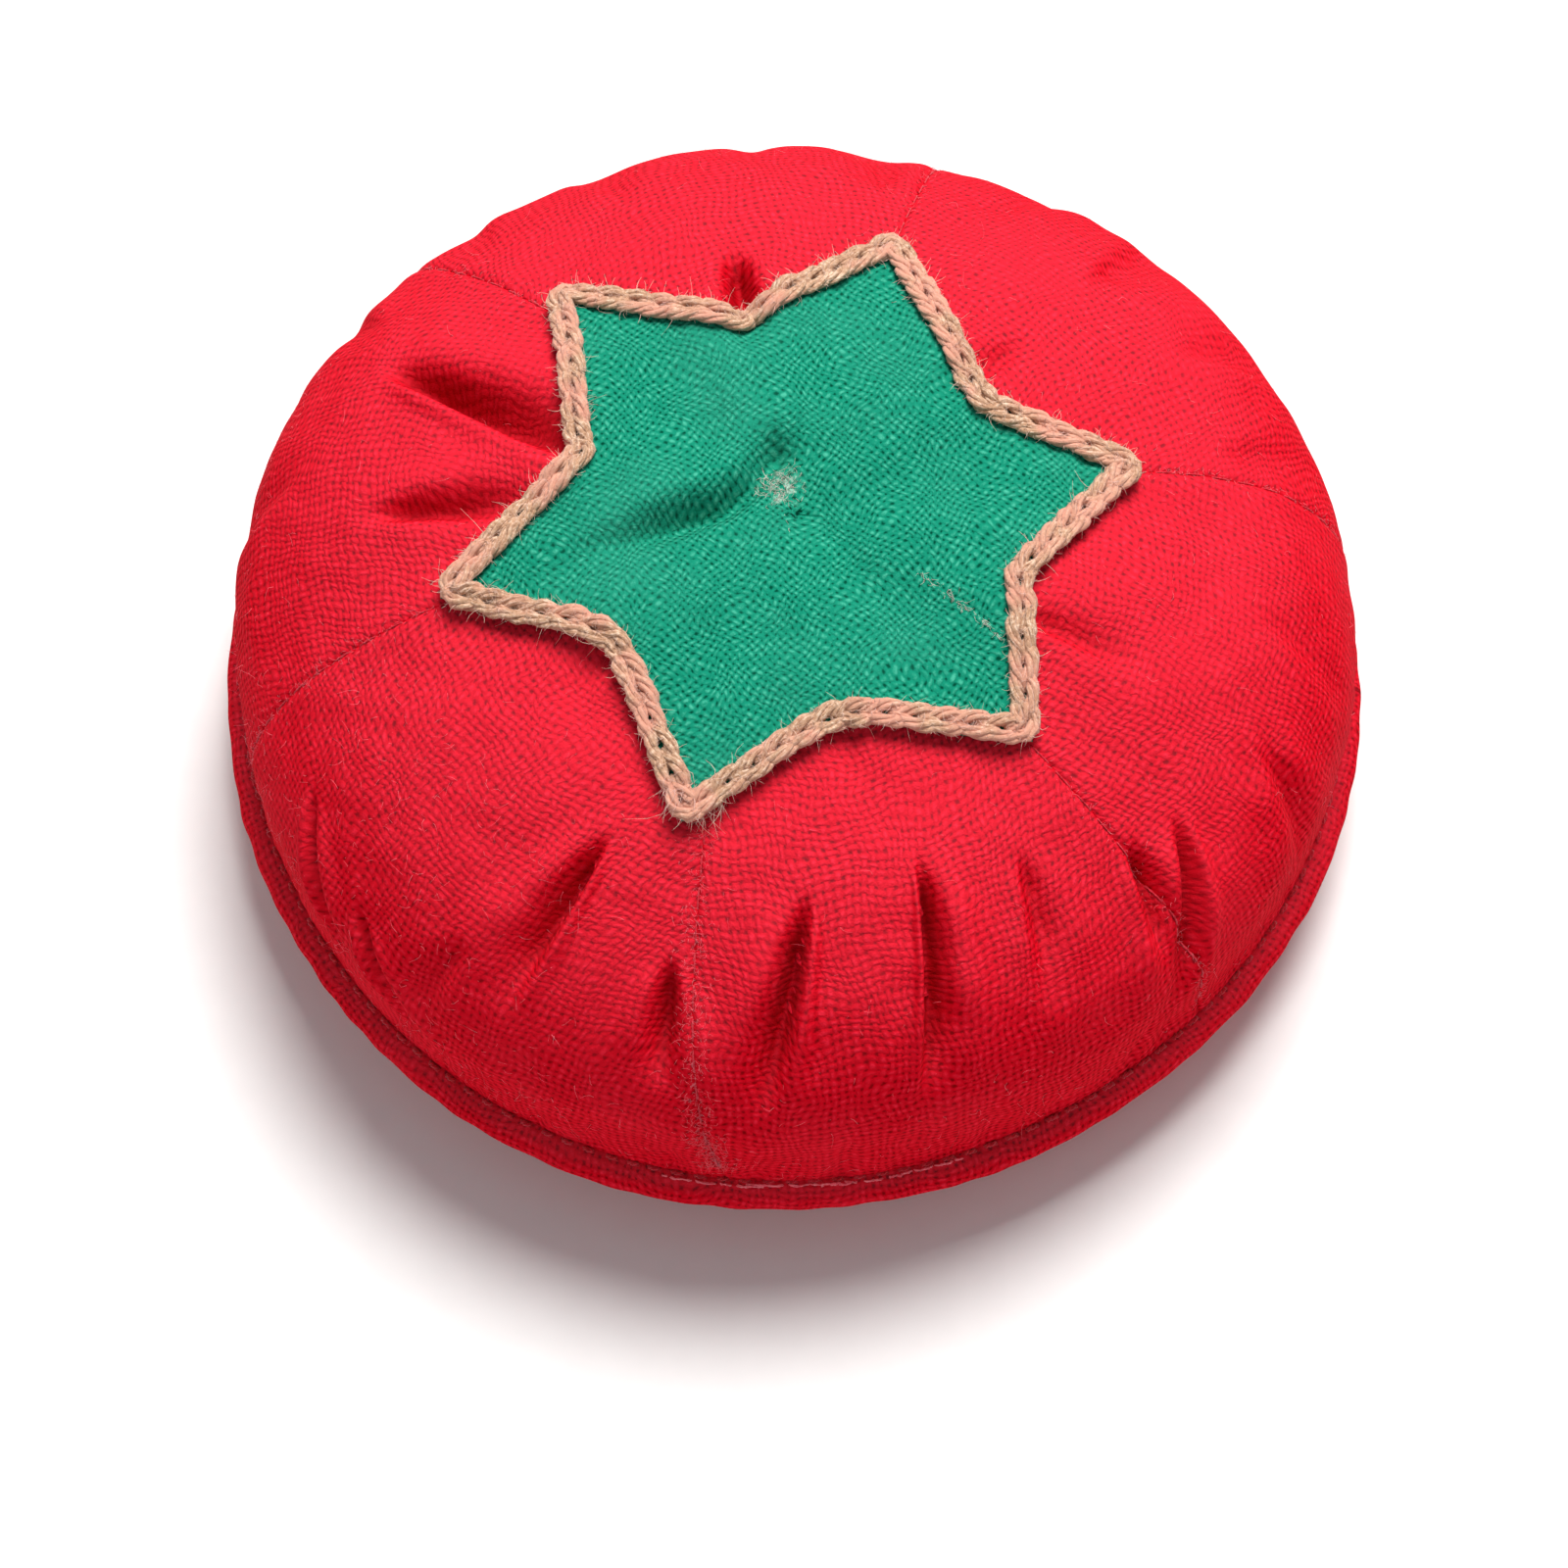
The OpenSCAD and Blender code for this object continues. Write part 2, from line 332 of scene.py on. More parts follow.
# Gather folds: azimuth and distance of the upper end, of the lower end, depth, width and
# skew (a crease with skew has one steep side and one gentle side)
FOLDS = [
    (242.0, 23.5, 239.0, 33.5, 1.7, 0.75, -0.5),
    (255.5, 29.0, 256.5, 36.0, 1.4, 0.80, 0.0),
    (271.8, 24.8, 267.5, 36.5, 2.0, 0.80, -0.45),
    (288.7, 23.5, 284.3, 36.0, 2.1, 0.65, 0.6),
    (302.5, 25.5, 299.5, 33.0, 0.8, 0.80, 0.3),
    (316.0, 29.0, 312.5, 37.0, 1.3, 0.90, 0.3),
    (322.5, 30.0, 314.0, 40.0, 1.5, 0.85, -0.4),
    (337.0, 32.0, 334.0, 41.0, 0.6, 1.10, 0.0),
    (206.5, 34.5, 216.5, 41.5, 1.3, 0.85, 0.4),
    (219.5, 36.5, 227.5, 42.0, 1.1, 0.85, 0.3),
    (232.0, 33.0, 229.5, 39.0, 0.6, 1.10, -0.3),
    (352.0, 29.0, 350.0, 38.0, 0.30, 1.4, 0.3),
    (14.0, 27.0, 17.0, 37.0, 0.35, 1.5, -0.3),
    (31.0, 28.0, 28.0, 37.0, 0.45, 1.3, 0.5),
    (45.0, 26.0, 47.0, 36.0, 0.50, 1.4, -0.5),
    (63.0, 29.0, 60.0, 39.0, 0.30, 1.5, 0.2),
    (78.0, 27.0, 80.0, 36.0, 0.50, 1.4, 0.4),
    (96.0, 30.0, 93.0, 40.0, 0.30, 1.5, 0.0),
    (112.0, 28.0, 114.0, 37.0, 0.35, 1.4, -0.4),
    (129.0, 31.0, 127.0, 40.0, 0.25, 1.4, 0.3),
    (146.0, 32.0, 144.0, 41.0, 0.40, 1.4, 0.3),
    (168.0, 32.0, 170.0, 41.0, 0.35, 1.4, -0.3),
]
# Hollows where the star's stitching pulls the crown in
HOLLOWS = [
    (153.0, 28.0, 159.5, 14.0, 2.9, 1.35, -0.5),
    (176.5, 25.8, 175.5, 15.5, 1.4, 1.0, 0.0),
    (101.0, 19.5, 101.5, 12.5, 1.9, 1.0, 0.0),
    (333.5, 14.5, 336.5, 22.5, 0.8, 1.0, 0.3),
    (42.0, 19.0, 42.0, 11.5, 0.6, 1.0, 0.0),
    (222.0, 13.0, 222.0, 18.0, 0.5, 1.2, 0.0),
    (282.0, 13.5, 282.0, 18.5, 0.4, 1.2, 0.0),
]
# How the hand-sewn outline swells and flattens: azimuth in degrees, distance in mm
OUTLINE = [(0, 0.35), (40, 0.30), (85, -0.35), (125, 0.10), (165, 0.50), (200, -0.30),
           (245, 0.40), (275, 0.0), (310, -0.45), (345, 0.10)]


def outline(theta):
    """The swell of the outline in an azimuth, in metres."""
    places, swell = zip(*OUTLINE)
    total = 0
    for shift in (-14, -7, 0, 7, 14):
        total = total + np.interp(theta + shift, places, swell, period=360)
    return total / 5 * MM


def valley(theta, s, r, line, ridge):
    """A crease along a line on the cloth, pointed at its upper end, with raised sides, in mm."""
    az1, s1, az2, s2, depth, width, skew = line
    share = (s - s1) / (s2 - s1)
    middle = az1 + (az2 - az1) * np.clip(share, -0.5, 1.6)
    across = turned_by(theta, middle) * r / MM
    across = across / (1 + skew * np.tanh(across / width))
    spread = width * (0.5 + 0.8 * np.clip(share, 0, 1.2))
    taper = smooth_step(share, -0.08, 0.30) * (1 - smooth_step(share, 0.5, 1.3))
    sides = bell(across - 2.3 * spread, 1.5 * spread) + bell(across + 2.3 * spread, 1.5 * spread)
    return depth * taper * (ridge * sides - bell(across, spread))


def creases(theta, s, r):
    """All the gather folds and the star's hollows, in mm."""
    total = np.zeros_like(theta)
    for line in FOLDS:
        total += valley(theta, s, r, line, 0.3)
    for line in HOLLOWS:
        total += valley(theta, s, r, line, 0.15)
    return total


def small_gathers(theta, s, r):
    """The many short puckers that rise from the gathered hem, in mm."""
    rng = np.random.default_rng(11)
    total = np.zeros_like(theta)
    count = 46
    for k in range(count):
        az = (k + rng.uniform(-0.4, 0.4)) * 360 / count
        rise = rng.uniform(3.0, 10.0)
        depth = rng.uniform(0.08, 0.30)
        width = rng.uniform(0.5, 0.9)
        lean = rng.uniform(-0.35, 0.35)
        up = HEM_S - s
        across = turned_by(theta, az) * r / MM - lean * up
        total -= depth * bell(across, width) * (1 - smooth_step(up, rise * 0.4, rise))
    return total


# Pulls at the centre stitch: azimuth, depth, width and reach of each, in degrees and mm
PULLS = [(150, 0.25, 0.8, 6), (35, 0.3, 0.9, 7), (85, 0.25, 0.8, 6), (305, 0.2, 0.8, 12)]
DIMPLE = (-0.9, 4.0)                    # the dimple lies a little behind the middle, in mm
# The long crease from the dimple towards the fourth tip: places in mm
CREASE = [(-0.9, 4.0), (-2.7, 1.3), (-4.2, -0.1), (-7.2, -1.3), (-11.0, -2.6), (-15.0, -4.2)]


def long_crease(x, y):
    """The bent crease: a valley that widens and fades along it, with one raised side, in mm."""
    nearest = np.full(x.shape, 1e3)
    total = np.zeros_like(x)
    for k in range(len(CREASE) - 1):
        (x0, y0), (x1, y1) = CREASE[k], CREASE[k + 1]
        size = math.hypot(x1 - x0, y1 - y0)
        share = ((x - x0) * (x1 - x0) + (y - y0) * (y1 - y0)) / size ** 2
        share = np.clip(share, 0, 1)
        far = np.hypot(x - x0 - share * (x1 - x0), y - y0 - share * (y1 - y0))
        side = np.sign((x1 - x0) * (y - y0) - (y1 - y0) * (x - x0))
        place = (k + share) / (len(CREASE) - 1)
        width = 0.42 + 0.7 * place
        depth = 1.5 * smooth_step(place, -0.1, 0.15) * (1 - smooth_step(place, 0.45, 1.1))
        lift = depth * (0.55 * bell(far * side + 1.9, 1.3) - bell(far, width))
        total = np.where(far < nearest, lift, total)
        nearest = np.minimum(nearest, far)
    return total


def centre_pulls(x, y):
    """The dimple at the centre stitch and the creases that run from it, in mm."""
    lift = long_crease(x, y) - 0.9 * bell(np.hypot(x, y), 4.0)
    lift -= 1.1 * bell(np.hypot(x - DIMPLE[0], y - DIMPLE[1]), 1.0)
    x, y = x - 0.5 * DIMPLE[0], y - 0.5 * DIMPLE[1]
    r = np.hypot(x, y)
    azimuth = np.degrees(np.arctan2(y, x))
    for az, depth, width, reach in PULLS:
        off = turned_by(azimuth, az)
        across = r * np.sin(np.clip(off, -1.5, 1.5))
        along = smooth_step(r, 0.8, 3.0) * (1 - smooth_step(r, reach * 0.55, reach))
        facing = np.abs(off) < 1.5
        lift -= depth * facing * along * (bell(across, width) - 0.6 * bell(across + 1.8, 1.4))
    return lift


def crown_relief(theta, s, r, flat):
    """Height in mm that the stuffed cloth stands off the plain dome."""
    relief = np.zeros_like(theta)
    outside = smooth_step(s, *STAR_EDGE)
    for k in range(6):
        across = turned_by(theta, seam_azimuth(k, s)) * r / MM
        relief -= 0.06 * bell(across, 0.3) * outside
        relief += 0.05 * (bell(across - 0.8, 0.5) + bell(across + 0.8, 0.5)) * outside
        relief -= 0.05 * bell(across, 4.5) * outside * (1 - smooth_step(s, HEM_S - 8, HEM_S))
    relief += creases(theta, s, r)
    relief += small_gathers(theta, s, r)
    calm = 1 - 0.6 * smooth_step(s, 22, 34)
    relief += calm * (0.25 * ripple(flat, 24 * MM, 3) + 0.14 * ripple(flat, 9 * MM, 4))
    relief += 0.05 * ripple(flat, 3.2 * MM, 5)
    stitches = np.cos(theta * math.pi / 180 * RIM_STITCHES)
    relief += 0.10 * stitches * bell(HEM_S - s, 1.0)
    return relief + centre_pulls(flat[..., 0] / MM, flat[..., 1] / MM)


def crown_lift(theta, s):
    """How far the crown's cloth stands off the plain dome, in metres."""
    r, z, _, _ = section(s)
    flat = polar(r, theta * math.pi / 180, z)
    relief = crown_relief(theta, s, r, flat) * MM * fade_hem(s)
    return relief + crown_swell(theta, s) + outline(theta) * smooth_step(s, 8, 30)


def dome_point(theta, s, lift):
    """The place that stands off the plain dome by this distance."""
    r, z, out, up = section(s)
    a = theta * math.pi / 180
    radius = r + lift * out
    return polar(radius, a, z + lift * up)


def crown_points(theta, s, lift=0.0):
    """Points on the crown's cloth, lift metres outside its face."""
    return dome_point(theta, s, crown_lift(theta, s) + lift)


def fade_hem(s):
    """The hem is held by its stitches, so most of the relief fades out just above it."""
    return 1 - 0.75 * smooth_step(s, HEM_S - 1.2, HEM_S)


# ---------------------------------------------------------------- cloth simulation

SIM_COLS = 216
SIM_ROWS = 52
SIM_SCALE = 10                          # the solver works better on a larger copy
SIM_FRAMES = 20
SIM_CAP = 0.25 * MM                     # farthest that the simulation may move a point
SIM_SETTINGS = {
    "quality": 6, "mass": 0.15, "tension_stiffness": 12, "compression_stiffness": 6,
    "shear_stiffness": 4, "bending_stiffness": 0.3, "vertex_group_mass": "pins",
    "pin_stiffness": 2.0, "use_pressure": True, "uniform_pressure_force": 4, "shrink_min": -0.05,
}


def trial_dome(flat, normal, s):
    """A mesh of the plain dome, a little crimped and small, pinned at its hem and gore seams."""
    crimp = 0.3 * MM * ripple(flat, 4 * MM, 8) * smooth_step(s, 20, HEM_S)
    start = flat + normal * (crimp - 0.4 * MM)[..., None]
    verts = start.reshape(-1, 3) * SIM_SCALE
    top, ring = len(verts), len(verts) - SIM_COLS
    verts = np.concatenate([verts, [[0, 0, verts[-SIM_COLS:, 2].mean()]]])
    faces = grid_faces(SIM_ROWS, SIM_COLS, wrap=True)
    faces += [[ring + k, ring + (k + 1) % SIM_COLS, top] for k in range(SIM_COLS)]
    dome = make_mesh("swell_trial", verts, faces)
    pins = dome.vertex_groups.new(name="pins")
    seams = [row * SIM_COLS + k for row in range(2, SIM_ROWS)
             for k in range(0, SIM_COLS, SIM_COLS // 6)]
    pins.add([*range(2 * SIM_COLS), top], 1.0, "REPLACE")
    pins.add(seams, 0.75, "REPLACE")
    return dome


def inflated(dome):
    """The places of the dome's grid after the cloth simulation; the dome is removed."""
    cloth = dome.modifiers.new("cloth", "CLOTH")
    for setting, value in SIM_SETTINGS.items():
        setattr(cloth.settings, setting, value)
    cloth.settings.effector_weights.gravity = 0
    cloth.collision_settings.use_collision = False
    scene = bpy.context.scene
    cloth.point_cache.frame_start, cloth.point_cache.frame_end = 1, SIM_FRAMES
    for f in range(1, SIM_FRAMES + 1):
        scene.frame_set(f)
    done = dome.evaluated_get(bpy.context.evaluated_depsgraph_get()).to_mesh()
    moved = np.array([v.co for v in done.vertices], float)[:SIM_ROWS * SIM_COLS] / SIM_SCALE
    bpy.data.objects.remove(dome, do_unlink=True)
    scene.frame_set(1)
    return moved.reshape(SIM_ROWS, SIM_COLS, 3)


def simulate_swell():
    """How far the dome's grid moves outwards when inflated: smoothed, capped, in metres."""
    s_line = np.linspace(HEM_S, 1.0, SIM_ROWS)
    share = np.arange(SIM_COLS) / SIM_COLS
    s, share = np.meshgrid(s_line, share, indexing="ij")
    r, z, out, up = section(s)
    a = (seam_azimuth(0, s) + share * 360) * math.pi / 180
    flat, normal = polar(r, a, z), polar(out, a, up)
    grow = ((inflated(trial_dome(flat, normal, s)) - flat) * normal).sum(-1)
    grow = grow - grow.mean(axis=1, keepdims=True)
    for shift in (1, 2, 3, 4, 5):
        grow = (2 * grow + np.roll(grow, shift, 1) + np.roll(grow, -shift, 1)) / 4
    grow[1:-1] = (2 * grow[1:-1] + grow[:-2] + grow[2:]) / 4
    return np.clip(grow, -SIM_CAP, SIM_CAP)


SWELL = simulate_swell()


def crown_swell(theta, s):
    """The simulated swelling at these places, in metres."""
    if SWELL is None:
        return np.zeros_like(theta)
    row = np.clip((HEM_S - s) / (HEM_S - 1.0) * (SIM_ROWS - 1), 0, SIM_ROWS - 1.001)
    col = np.mod((theta - seam_azimuth(0, s)) / 360 * SIM_COLS, SIM_COLS)
    i, j = row.astype(int), col.astype(int) % SIM_COLS
    fi, fj = row - i, col - np.floor(col)
    k = (j + 1) % SIM_COLS
    near = SWELL[i, j] * (1 - fj) + SWELL[i, k] * fj
    far = SWELL[i + 1, j] * (1 - fj) + SWELL[i + 1, k] * fj
    return (near * (1 - fi) + far * fi) * smooth_step(s, 2, 8)


# ---------------------------------------------------------------- materials

RIB_MM = 1.25                           # distance between the elastic's ribs


class Term:
    """A value in a material's node tree: sums and products of terms are nodes too."""

    def __init__(self, tree, socket):
        self.tree = tree
        self.socket = socket

    def node(self, kind, values, out=0, **settings):
        """A node of this kind, fed with (input, value) pairs; returns one of its outputs."""
        node = self.tree.nodes.new("ShaderNode" + kind)
        for key, value in settings.items():
            setattr(node, key, value)
        for place, value in values:
            feed(self.tree, node.inputs[place], value)
        return Term(self.tree, node.outputs[out])

    def maths(self, operation, *values):
        return self.node("Math", enumerate(values), operation=operation)

    def __add__(self, other):
        return self.maths("ADD", self, other)

    def __sub__(self, other):
        return self.maths("SUBTRACT", self, other)

    def __rsub__(self, other):
        return self.maths("SUBTRACT", other, self)

    def __mul__(self, other):
        return self.maths("MULTIPLY", self, other)

    def __abs__(self):
        return self.maths("ABSOLUTE", self)

    def sine(self):
        return self.maths("SINE", self)

    def highest(self, other):
        return self.maths("MAXIMUM", self, other)

    def vector(self, operation, *others, out="Vector"):
        return self.node("VectorMath", enumerate((self, *others)), out, operation=operation)

    def axes(self):
        """The X, Y and Z of a vector."""
        return [self.node("SeparateXYZ", [("Vector", self)], axis) for axis in "XYZ"]

    def noise(self, scale, detail=2.0, rough=0.5, out="Fac"):
        """Noise at this place."""
        return self.node("TexNoise", [("Vector", self), ("Scale", scale), ("Detail", detail),
                                      ("Roughness", rough)], out)

    def ramp(self, low, high):
        """This value stretched from low..high to 0..1."""
        return self.node("MapRange", [("Value", self), ("From Min", low), ("From Max", high)],
                         "Result", interpolation_type="SMOOTHSTEP")

    def mix(self, a, b, blend="MIX"):
        """Colour a where this value is 0, and b where it is 1."""
        colour_a, colour_b, mixed = 6, 7, 2
        return self.node("Mix", [("Factor", self), (colour_a, a), (colour_b, b)], mixed,
                         data_type="RGBA", blend_type=blend)


def feed(tree, socket, value):
    """Gives a socket a constant or a term."""
    if isinstance(value, Term):
        tree.links.new(value.socket, socket)
    elif socket.type == "RGBA":
        socket.default_value = (*value, 1)
    else:
        socket.default_value = value


def new_material(name):
    """A material with its tree, shader, cloth coordinate and place on the object, in mm."""
    material = bpy.data.materials.new(name)
    material.use_nodes = True
    tree = material.node_tree
    uv = tree.nodes.new("ShaderNodeUVMap")
    uv.uv_map = "cloth"
    where = tree.nodes.new("ShaderNodeTexCoord")
    place = Term(tree, where.outputs["Object"]).vector("MULTIPLY", (1 / MM, 1 / MM, 1 / MM))
    return material, tree, tree.nodes["Principled BSDF"], Term(tree, uv.outputs["UV"]), place


def surface(shader, colour, rough, height=None, depth=0.0, constants=()):
    """Joins colour, roughness and relief to a shader, and sets its constants."""
    values = [("Base Color", colour), ("Roughness", rough), *constants]
    if height:
        pairs = [("Distance", depth), ("Strength", 1.0), ("Height", height)]
        values.append(("Normal", height.node("Bump", pairs, "Normal")))
    for place, value in values:
        feed(colour.tree, shader.inputs[place], value)


def plain_weave(uv, pitch):
    """Heights of the threads of a plain weave, and how open the cloth is between them."""
    for scale, drift in ((0.25, 2.0), (1.1, 0.26), (3.2, 0.13)):
        uv = uv.noise(scale, 1.0, out="Color").vector("MULTIPLY_ADD", (drift, drift, 0), uv)
    x, y, _ = uv.axes()
    across = (x * (math.pi / pitch)).sine()
    along = (y * (math.pi / pitch)).sine()
    over = across * along * 0.5
    flat_x, flat_y = abs(across), abs(along)
    warp = flat_x * (over + 0.5)
    weft = flat_y * (0.5 - over)
    open_space = (flat_x + flat_y) * 0.25 + flat_x.highest(flat_y) * 1.2
    return warp.highest(weft), open_space


def facing_up(tree):
    """Where the cloth faces up: how much of the painted sheen the top gets."""
    where = tree.nodes.new("ShaderNodeTexCoord")
    return Term(tree, where.outputs["Normal"]).axes()[2].ramp(0.45, 1.0)


def rubbed_middle(place):
    """Where the centre stitch has rubbed the cloth pale."""
    off = place.vector("MULTIPLY_ADD", (1, 1, 0), (0.7, -1.6, 0))
    far = off.vector("LENGTH", out="Value")
    return (1.0 - far.ramp(0.2, 1.8)) * place.noise(1.6, 4.0, 0.7).ramp(0.47, 0.66)


def cotton(name, hole, fold_shade, base, light, faded_and_ridge_lit, sheen, pitch=0.52, rubbed=None, painted_top_sheen=None):
    """Plain woven cotton: dark holes, light thread crowns, fading and slubbed patches; painted
    shade in folds, painted light on fold ridges, painted sheen on top.
    """
    material, tree, shader, uv, place = new_material(name)
    height, open_space = plain_weave(uv, pitch)
    fleck = place.noise(1.5, 4.0, 0.75)
    fibre = place.noise(8.0, 2.0, 0.7)
    close = open_space + uv.noise(1.9, 2.0, 0.6) * 1.8 + fibre * 0.5
    colour = close.ramp(1.35, 2.45).mix(hole, base)
    colour = (height.ramp(0.45, 1.0) * fleck.ramp(0.35, 0.7)).mix(colour, light)
    # painted sheen: a whitish tint added where the cloth faces up
    if painted_top_sheen:
        colour = facing_up(tree).mix(colour, painted_top_sheen, "ADD")
    # how far the cloth stands out of a fold (or lies in it), in mm; it drives painted light on
    # the fold ridges and painted shade in the fold valleys
    fold_shading = height.node("Attribute", (), "Fac", attribute_name="fold_shading")
    # random patches of fading, plus painted light on the fold ridges
    raised = place.noise(0.14, 3.0).ramp(0.42, 0.75) * 0.30 + fold_shading.ramp(0.1, 0.6) * 0.15
    colour = raised.mix(colour, faded_and_ridge_lit)
    colour = (fleck.ramp(0.56, 0.78) * 0.42).mix(colour, faded_and_ridge_lit)
    # painted shade: the cloth gets darker down in each fold
    colour = ((fold_shading * -1.0).ramp(0.15, 1.4) * 0.65).mix(colour, fold_shade)
    if rubbed:
        colour = rubbed_middle(place).mix(colour, rubbed)
    surface(shader, colour, 0.98 - height * 0.12, height + fibre * 0.8, 0.08 * MM,
            [("Specular IOR Level", 0.03), ("Sheen Weight", 0.01), ("Sheen Roughness", 0.4),
             ("Sheen Tint", sheen)])
    return material


def yarn(name, dark, base, light, pink, scale=1.0):
    """Fuzzy cotton yarn: fibres streaked along it and slow changes of tint."""
    material, _, shader, uv, place = new_material(name)
    streak = uv.vector("MULTIPLY", (1.1, 7.0, 1.0)).noise(1.0 * scale, 3.0, 0.6)
    both = streak * 0.5 + place.noise(4.0 * scale, 3.0, 0.7) * 0.5
    colour = both.ramp(0.32, 0.50).mix(dark, base)
    colour = both.ramp(0.48, 0.68).mix(colour, light)
    colour = (place.noise(0.3 * scale, 2.0).ramp(0.38, 0.62) * 0.75).mix(colour, pink)
    surface(shader, colour, streak * 0.15 + 0.8, both, 0.14 * MM,
            [("Specular IOR Level", 0.15), ("Sheen Weight", 0.2), ("Sheen Roughness", 0.5)])
    return material


def elastic(name):
    """Ribbed knitted elastic: cords along its length and fine stitches across them."""
    material, _, shader, uv, place = new_material(name)
    x, y, _ = uv.axes()
    rib = abs((y * (math.pi / RIB_MM)).sine())
    knit = (rib * 1.2 + x * (2 * math.pi / 0.55)).sine() * 0.5 + 0.5
    height = rib * 0.6 + knit * 0.4
    colour = height.ramp(0.15, 0.8).mix((0.36, 0.32, 0.26), (0.8, 0.76, 0.68))
    colour = (place.noise(0.2, 3.0).ramp(0.45, 0.8) * 0.3).mix(colour, (0.62, 0.55, 0.45))
    relief = height + place.noise(7.0, 2.0, 0.7) * 0.3
    surface(shader, colour, 0.95 - knit * 0.2, relief, 0.15 * MM, [("Sheen Weight", 0.2)])
    return material


def pressed_board(name):
    """Stiff pressed sheet: flecks of fibre in a pale ground."""
    material, _, shader, _, place = new_material(name)
    fleck = place.noise(2.5, 4.0, 0.7)
    colour = fleck.ramp(0.4, 0.7).mix((0.6, 0.52, 0.38), (0.78, 0.72, 0.6))
    colour = (place.noise(0.3, 2.0) * 0.4).mix(colour, (0.66, 0.58, 0.44))
    surface(shader, colour, fleck.ramp(-0.6, 1.0), fleck, 0.05 * MM)
    return material


# In each cotton the second colour is painted shade in the folds; the fifth serves fading patches
# and the painted light on fold ridges
RED = cotton("red_cotton", (0.25, 0.0, 0.002), (0.27, 0.0, 0.002), (0.64, 0.001, 0.011),
             (0.88, 0.016, 0.044), (0.76, 0.016, 0.036), (1.0, 0.35, 0.4),
             # painted sheen: whitish tint on the up-facing red cloth
             painted_top_sheen=(0.0, 0.014, 0.020))
GREEN = cotton("green_cotton", (0.0, 0.055, 0.030), (0.0, 0.10, 0.06), (0.006, 0.225, 0.138),
               (0.07, 0.45, 0.305), (0.03, 0.29, 0.195), (0.6, 1.0, 0.85), pitch=0.44,
               rubbed=(0.42, 0.60, 0.50))
BRAID = yarn("tan_braid", (0.17, 0.075, 0.035), (0.50, 0.29, 0.18), (0.88, 0.68, 0.52),
             (0.68, 0.31, 0.23))
BRAID_FUZZ = yarn("braid_fuzz", (0.60, 0.36, 0.26), (0.82, 0.58, 0.46), (0.92, 0.76, 0.64),
                  (0.84, 0.50, 0.44))
RED_THREAD = yarn("red_thread", (0.25, 0.0, 0.004), (0.55, 0.004, 0.015), (0.8, 0.03, 0.05),
                  (0.6, 0.01, 0.03), 2.0)
PALE_THREAD = yarn("pale_thread", (0.45, 0.42, 0.34), (0.7, 0.67, 0.57), (0.85, 0.83, 0.75),
                   (0.75, 0.68, 0.6), 2.0)
SEAM_THREAD = yarn("seam_thread", (0.42, 0.002, 0.010), (0.66, 0.010, 0.03), (0.86, 0.08, 0.12),
                   (0.78, 0.03, 0.06), 2.0)
RED_LINT = yarn("red_lint", (0.80, 0.04, 0.08), (0.92, 0.12, 0.17), (0.96, 0.36, 0.39),
                (0.90, 0.20, 0.25))
FILLING = yarn("filling", (0.55, 0.52, 0.46), (0.78, 0.76, 0.7), (0.9, 0.88, 0.84),
               (0.8, 0.76, 0.7), 0.6)
ELASTIC = elastic("ribbed_elastic")
BOARD = pressed_board("pressed_board")


def finish_piece(obj, material, nodes=(), body=CUSHION):
    """Gives a piece its material and slot, hides the CAD nodes that it stands for."""
    obj.data.materials.append(material)
    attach(obj, body)
    if nodes:
        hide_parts(*nodes)
    return obj


# ---------------------------------------------------------------- crown pieces

GORE_COLS = 241
GORE_ROWS = 181
POLE_S = 0.6                            # the gores end round the centre stitch
CLOTH_T = 0.45 * MM
UNDER_SKIP = 4                          # a cloth's hidden face has this much coarser a grid


def crown_gore(k):
    """One gore as a closed sheet, its edges turned down into the seams."""
    s_line = np.linspace(TUCKED_S, POLE_S, GORE_ROWS)
    share = np.linspace(0, 1, GORE_COLS)
    s, u = np.meshgrid(s_line, share, indexing="ij")
    first, second = seam_azimuth(k, s), seam_azimuth(k + 1, s)
    if k == 5:
        second = seam_azimuth(0, s) + 360
    theta = first + (second - first) * u
    r = section(s)[0]
    from_edge = np.minimum(u, 1 - u) * (second - first) * math.pi / 180 * r / MM
    tuck = -0.10 * MM * bell(from_edge, 0.15) * smooth_step(s, *STAR_EDGE)
    top = crown_points(theta, s, tuck)
    bottom = crown_points(theta, s, tuck - CLOTH_T)
    axis = STAR_TURN + 60 * k + 30
    uv = np.stack([(theta - axis) * math.pi / 180 * r / MM, s], -1)
    gore = closed_sheet("crown_cloth_%d" % (k + 1), top, bottom, uv, UNDER_SKIP)
    # The fold relief in mm, which the cotton turns into painted shade in fold valleys and painted
    # light on fold ridges
    fold_shading = gore.data.attributes.new("fold_shading", "FLOAT", "POINT")
    depth = np.zeros(len(gore.data.vertices))
    depth[:s.size] = creases(theta, s, r).ravel()
    fold_shading.data.foreach_set("value", depth)
    return finish_piece(gore, RED, [GORES[k]])


crown = [crown_gore(k) for k in range(6)]


def tree_of(objects):
    """A ray target made of several meshes."""
    verts, faces, start = [], [], 0
    for o in objects:
        verts += [tuple(v.co) for v in o.data.vertices]
        faces += [[i + start for i in p.vertices] for p in o.data.polygons]
        start = len(verts)
    return BVHTree.FromPolygons(verts, faces)


CROWN_TREE = tree_of(crown)
DOWN = Vector((0, 0, -1))


def drop(target, x, y):
    """The height of the target below a point, and the normal there."""
    hit, normal, _, _ = target.ray_cast(Vector((x, y, 0.1)), DOWN)
    if hit is None:
        return BULGE_Z, Vector((0, 0, 1))
    return hit.z, normal


# ---------------------------------------------------------------- star

SPOKES = 360
RINGS = 73


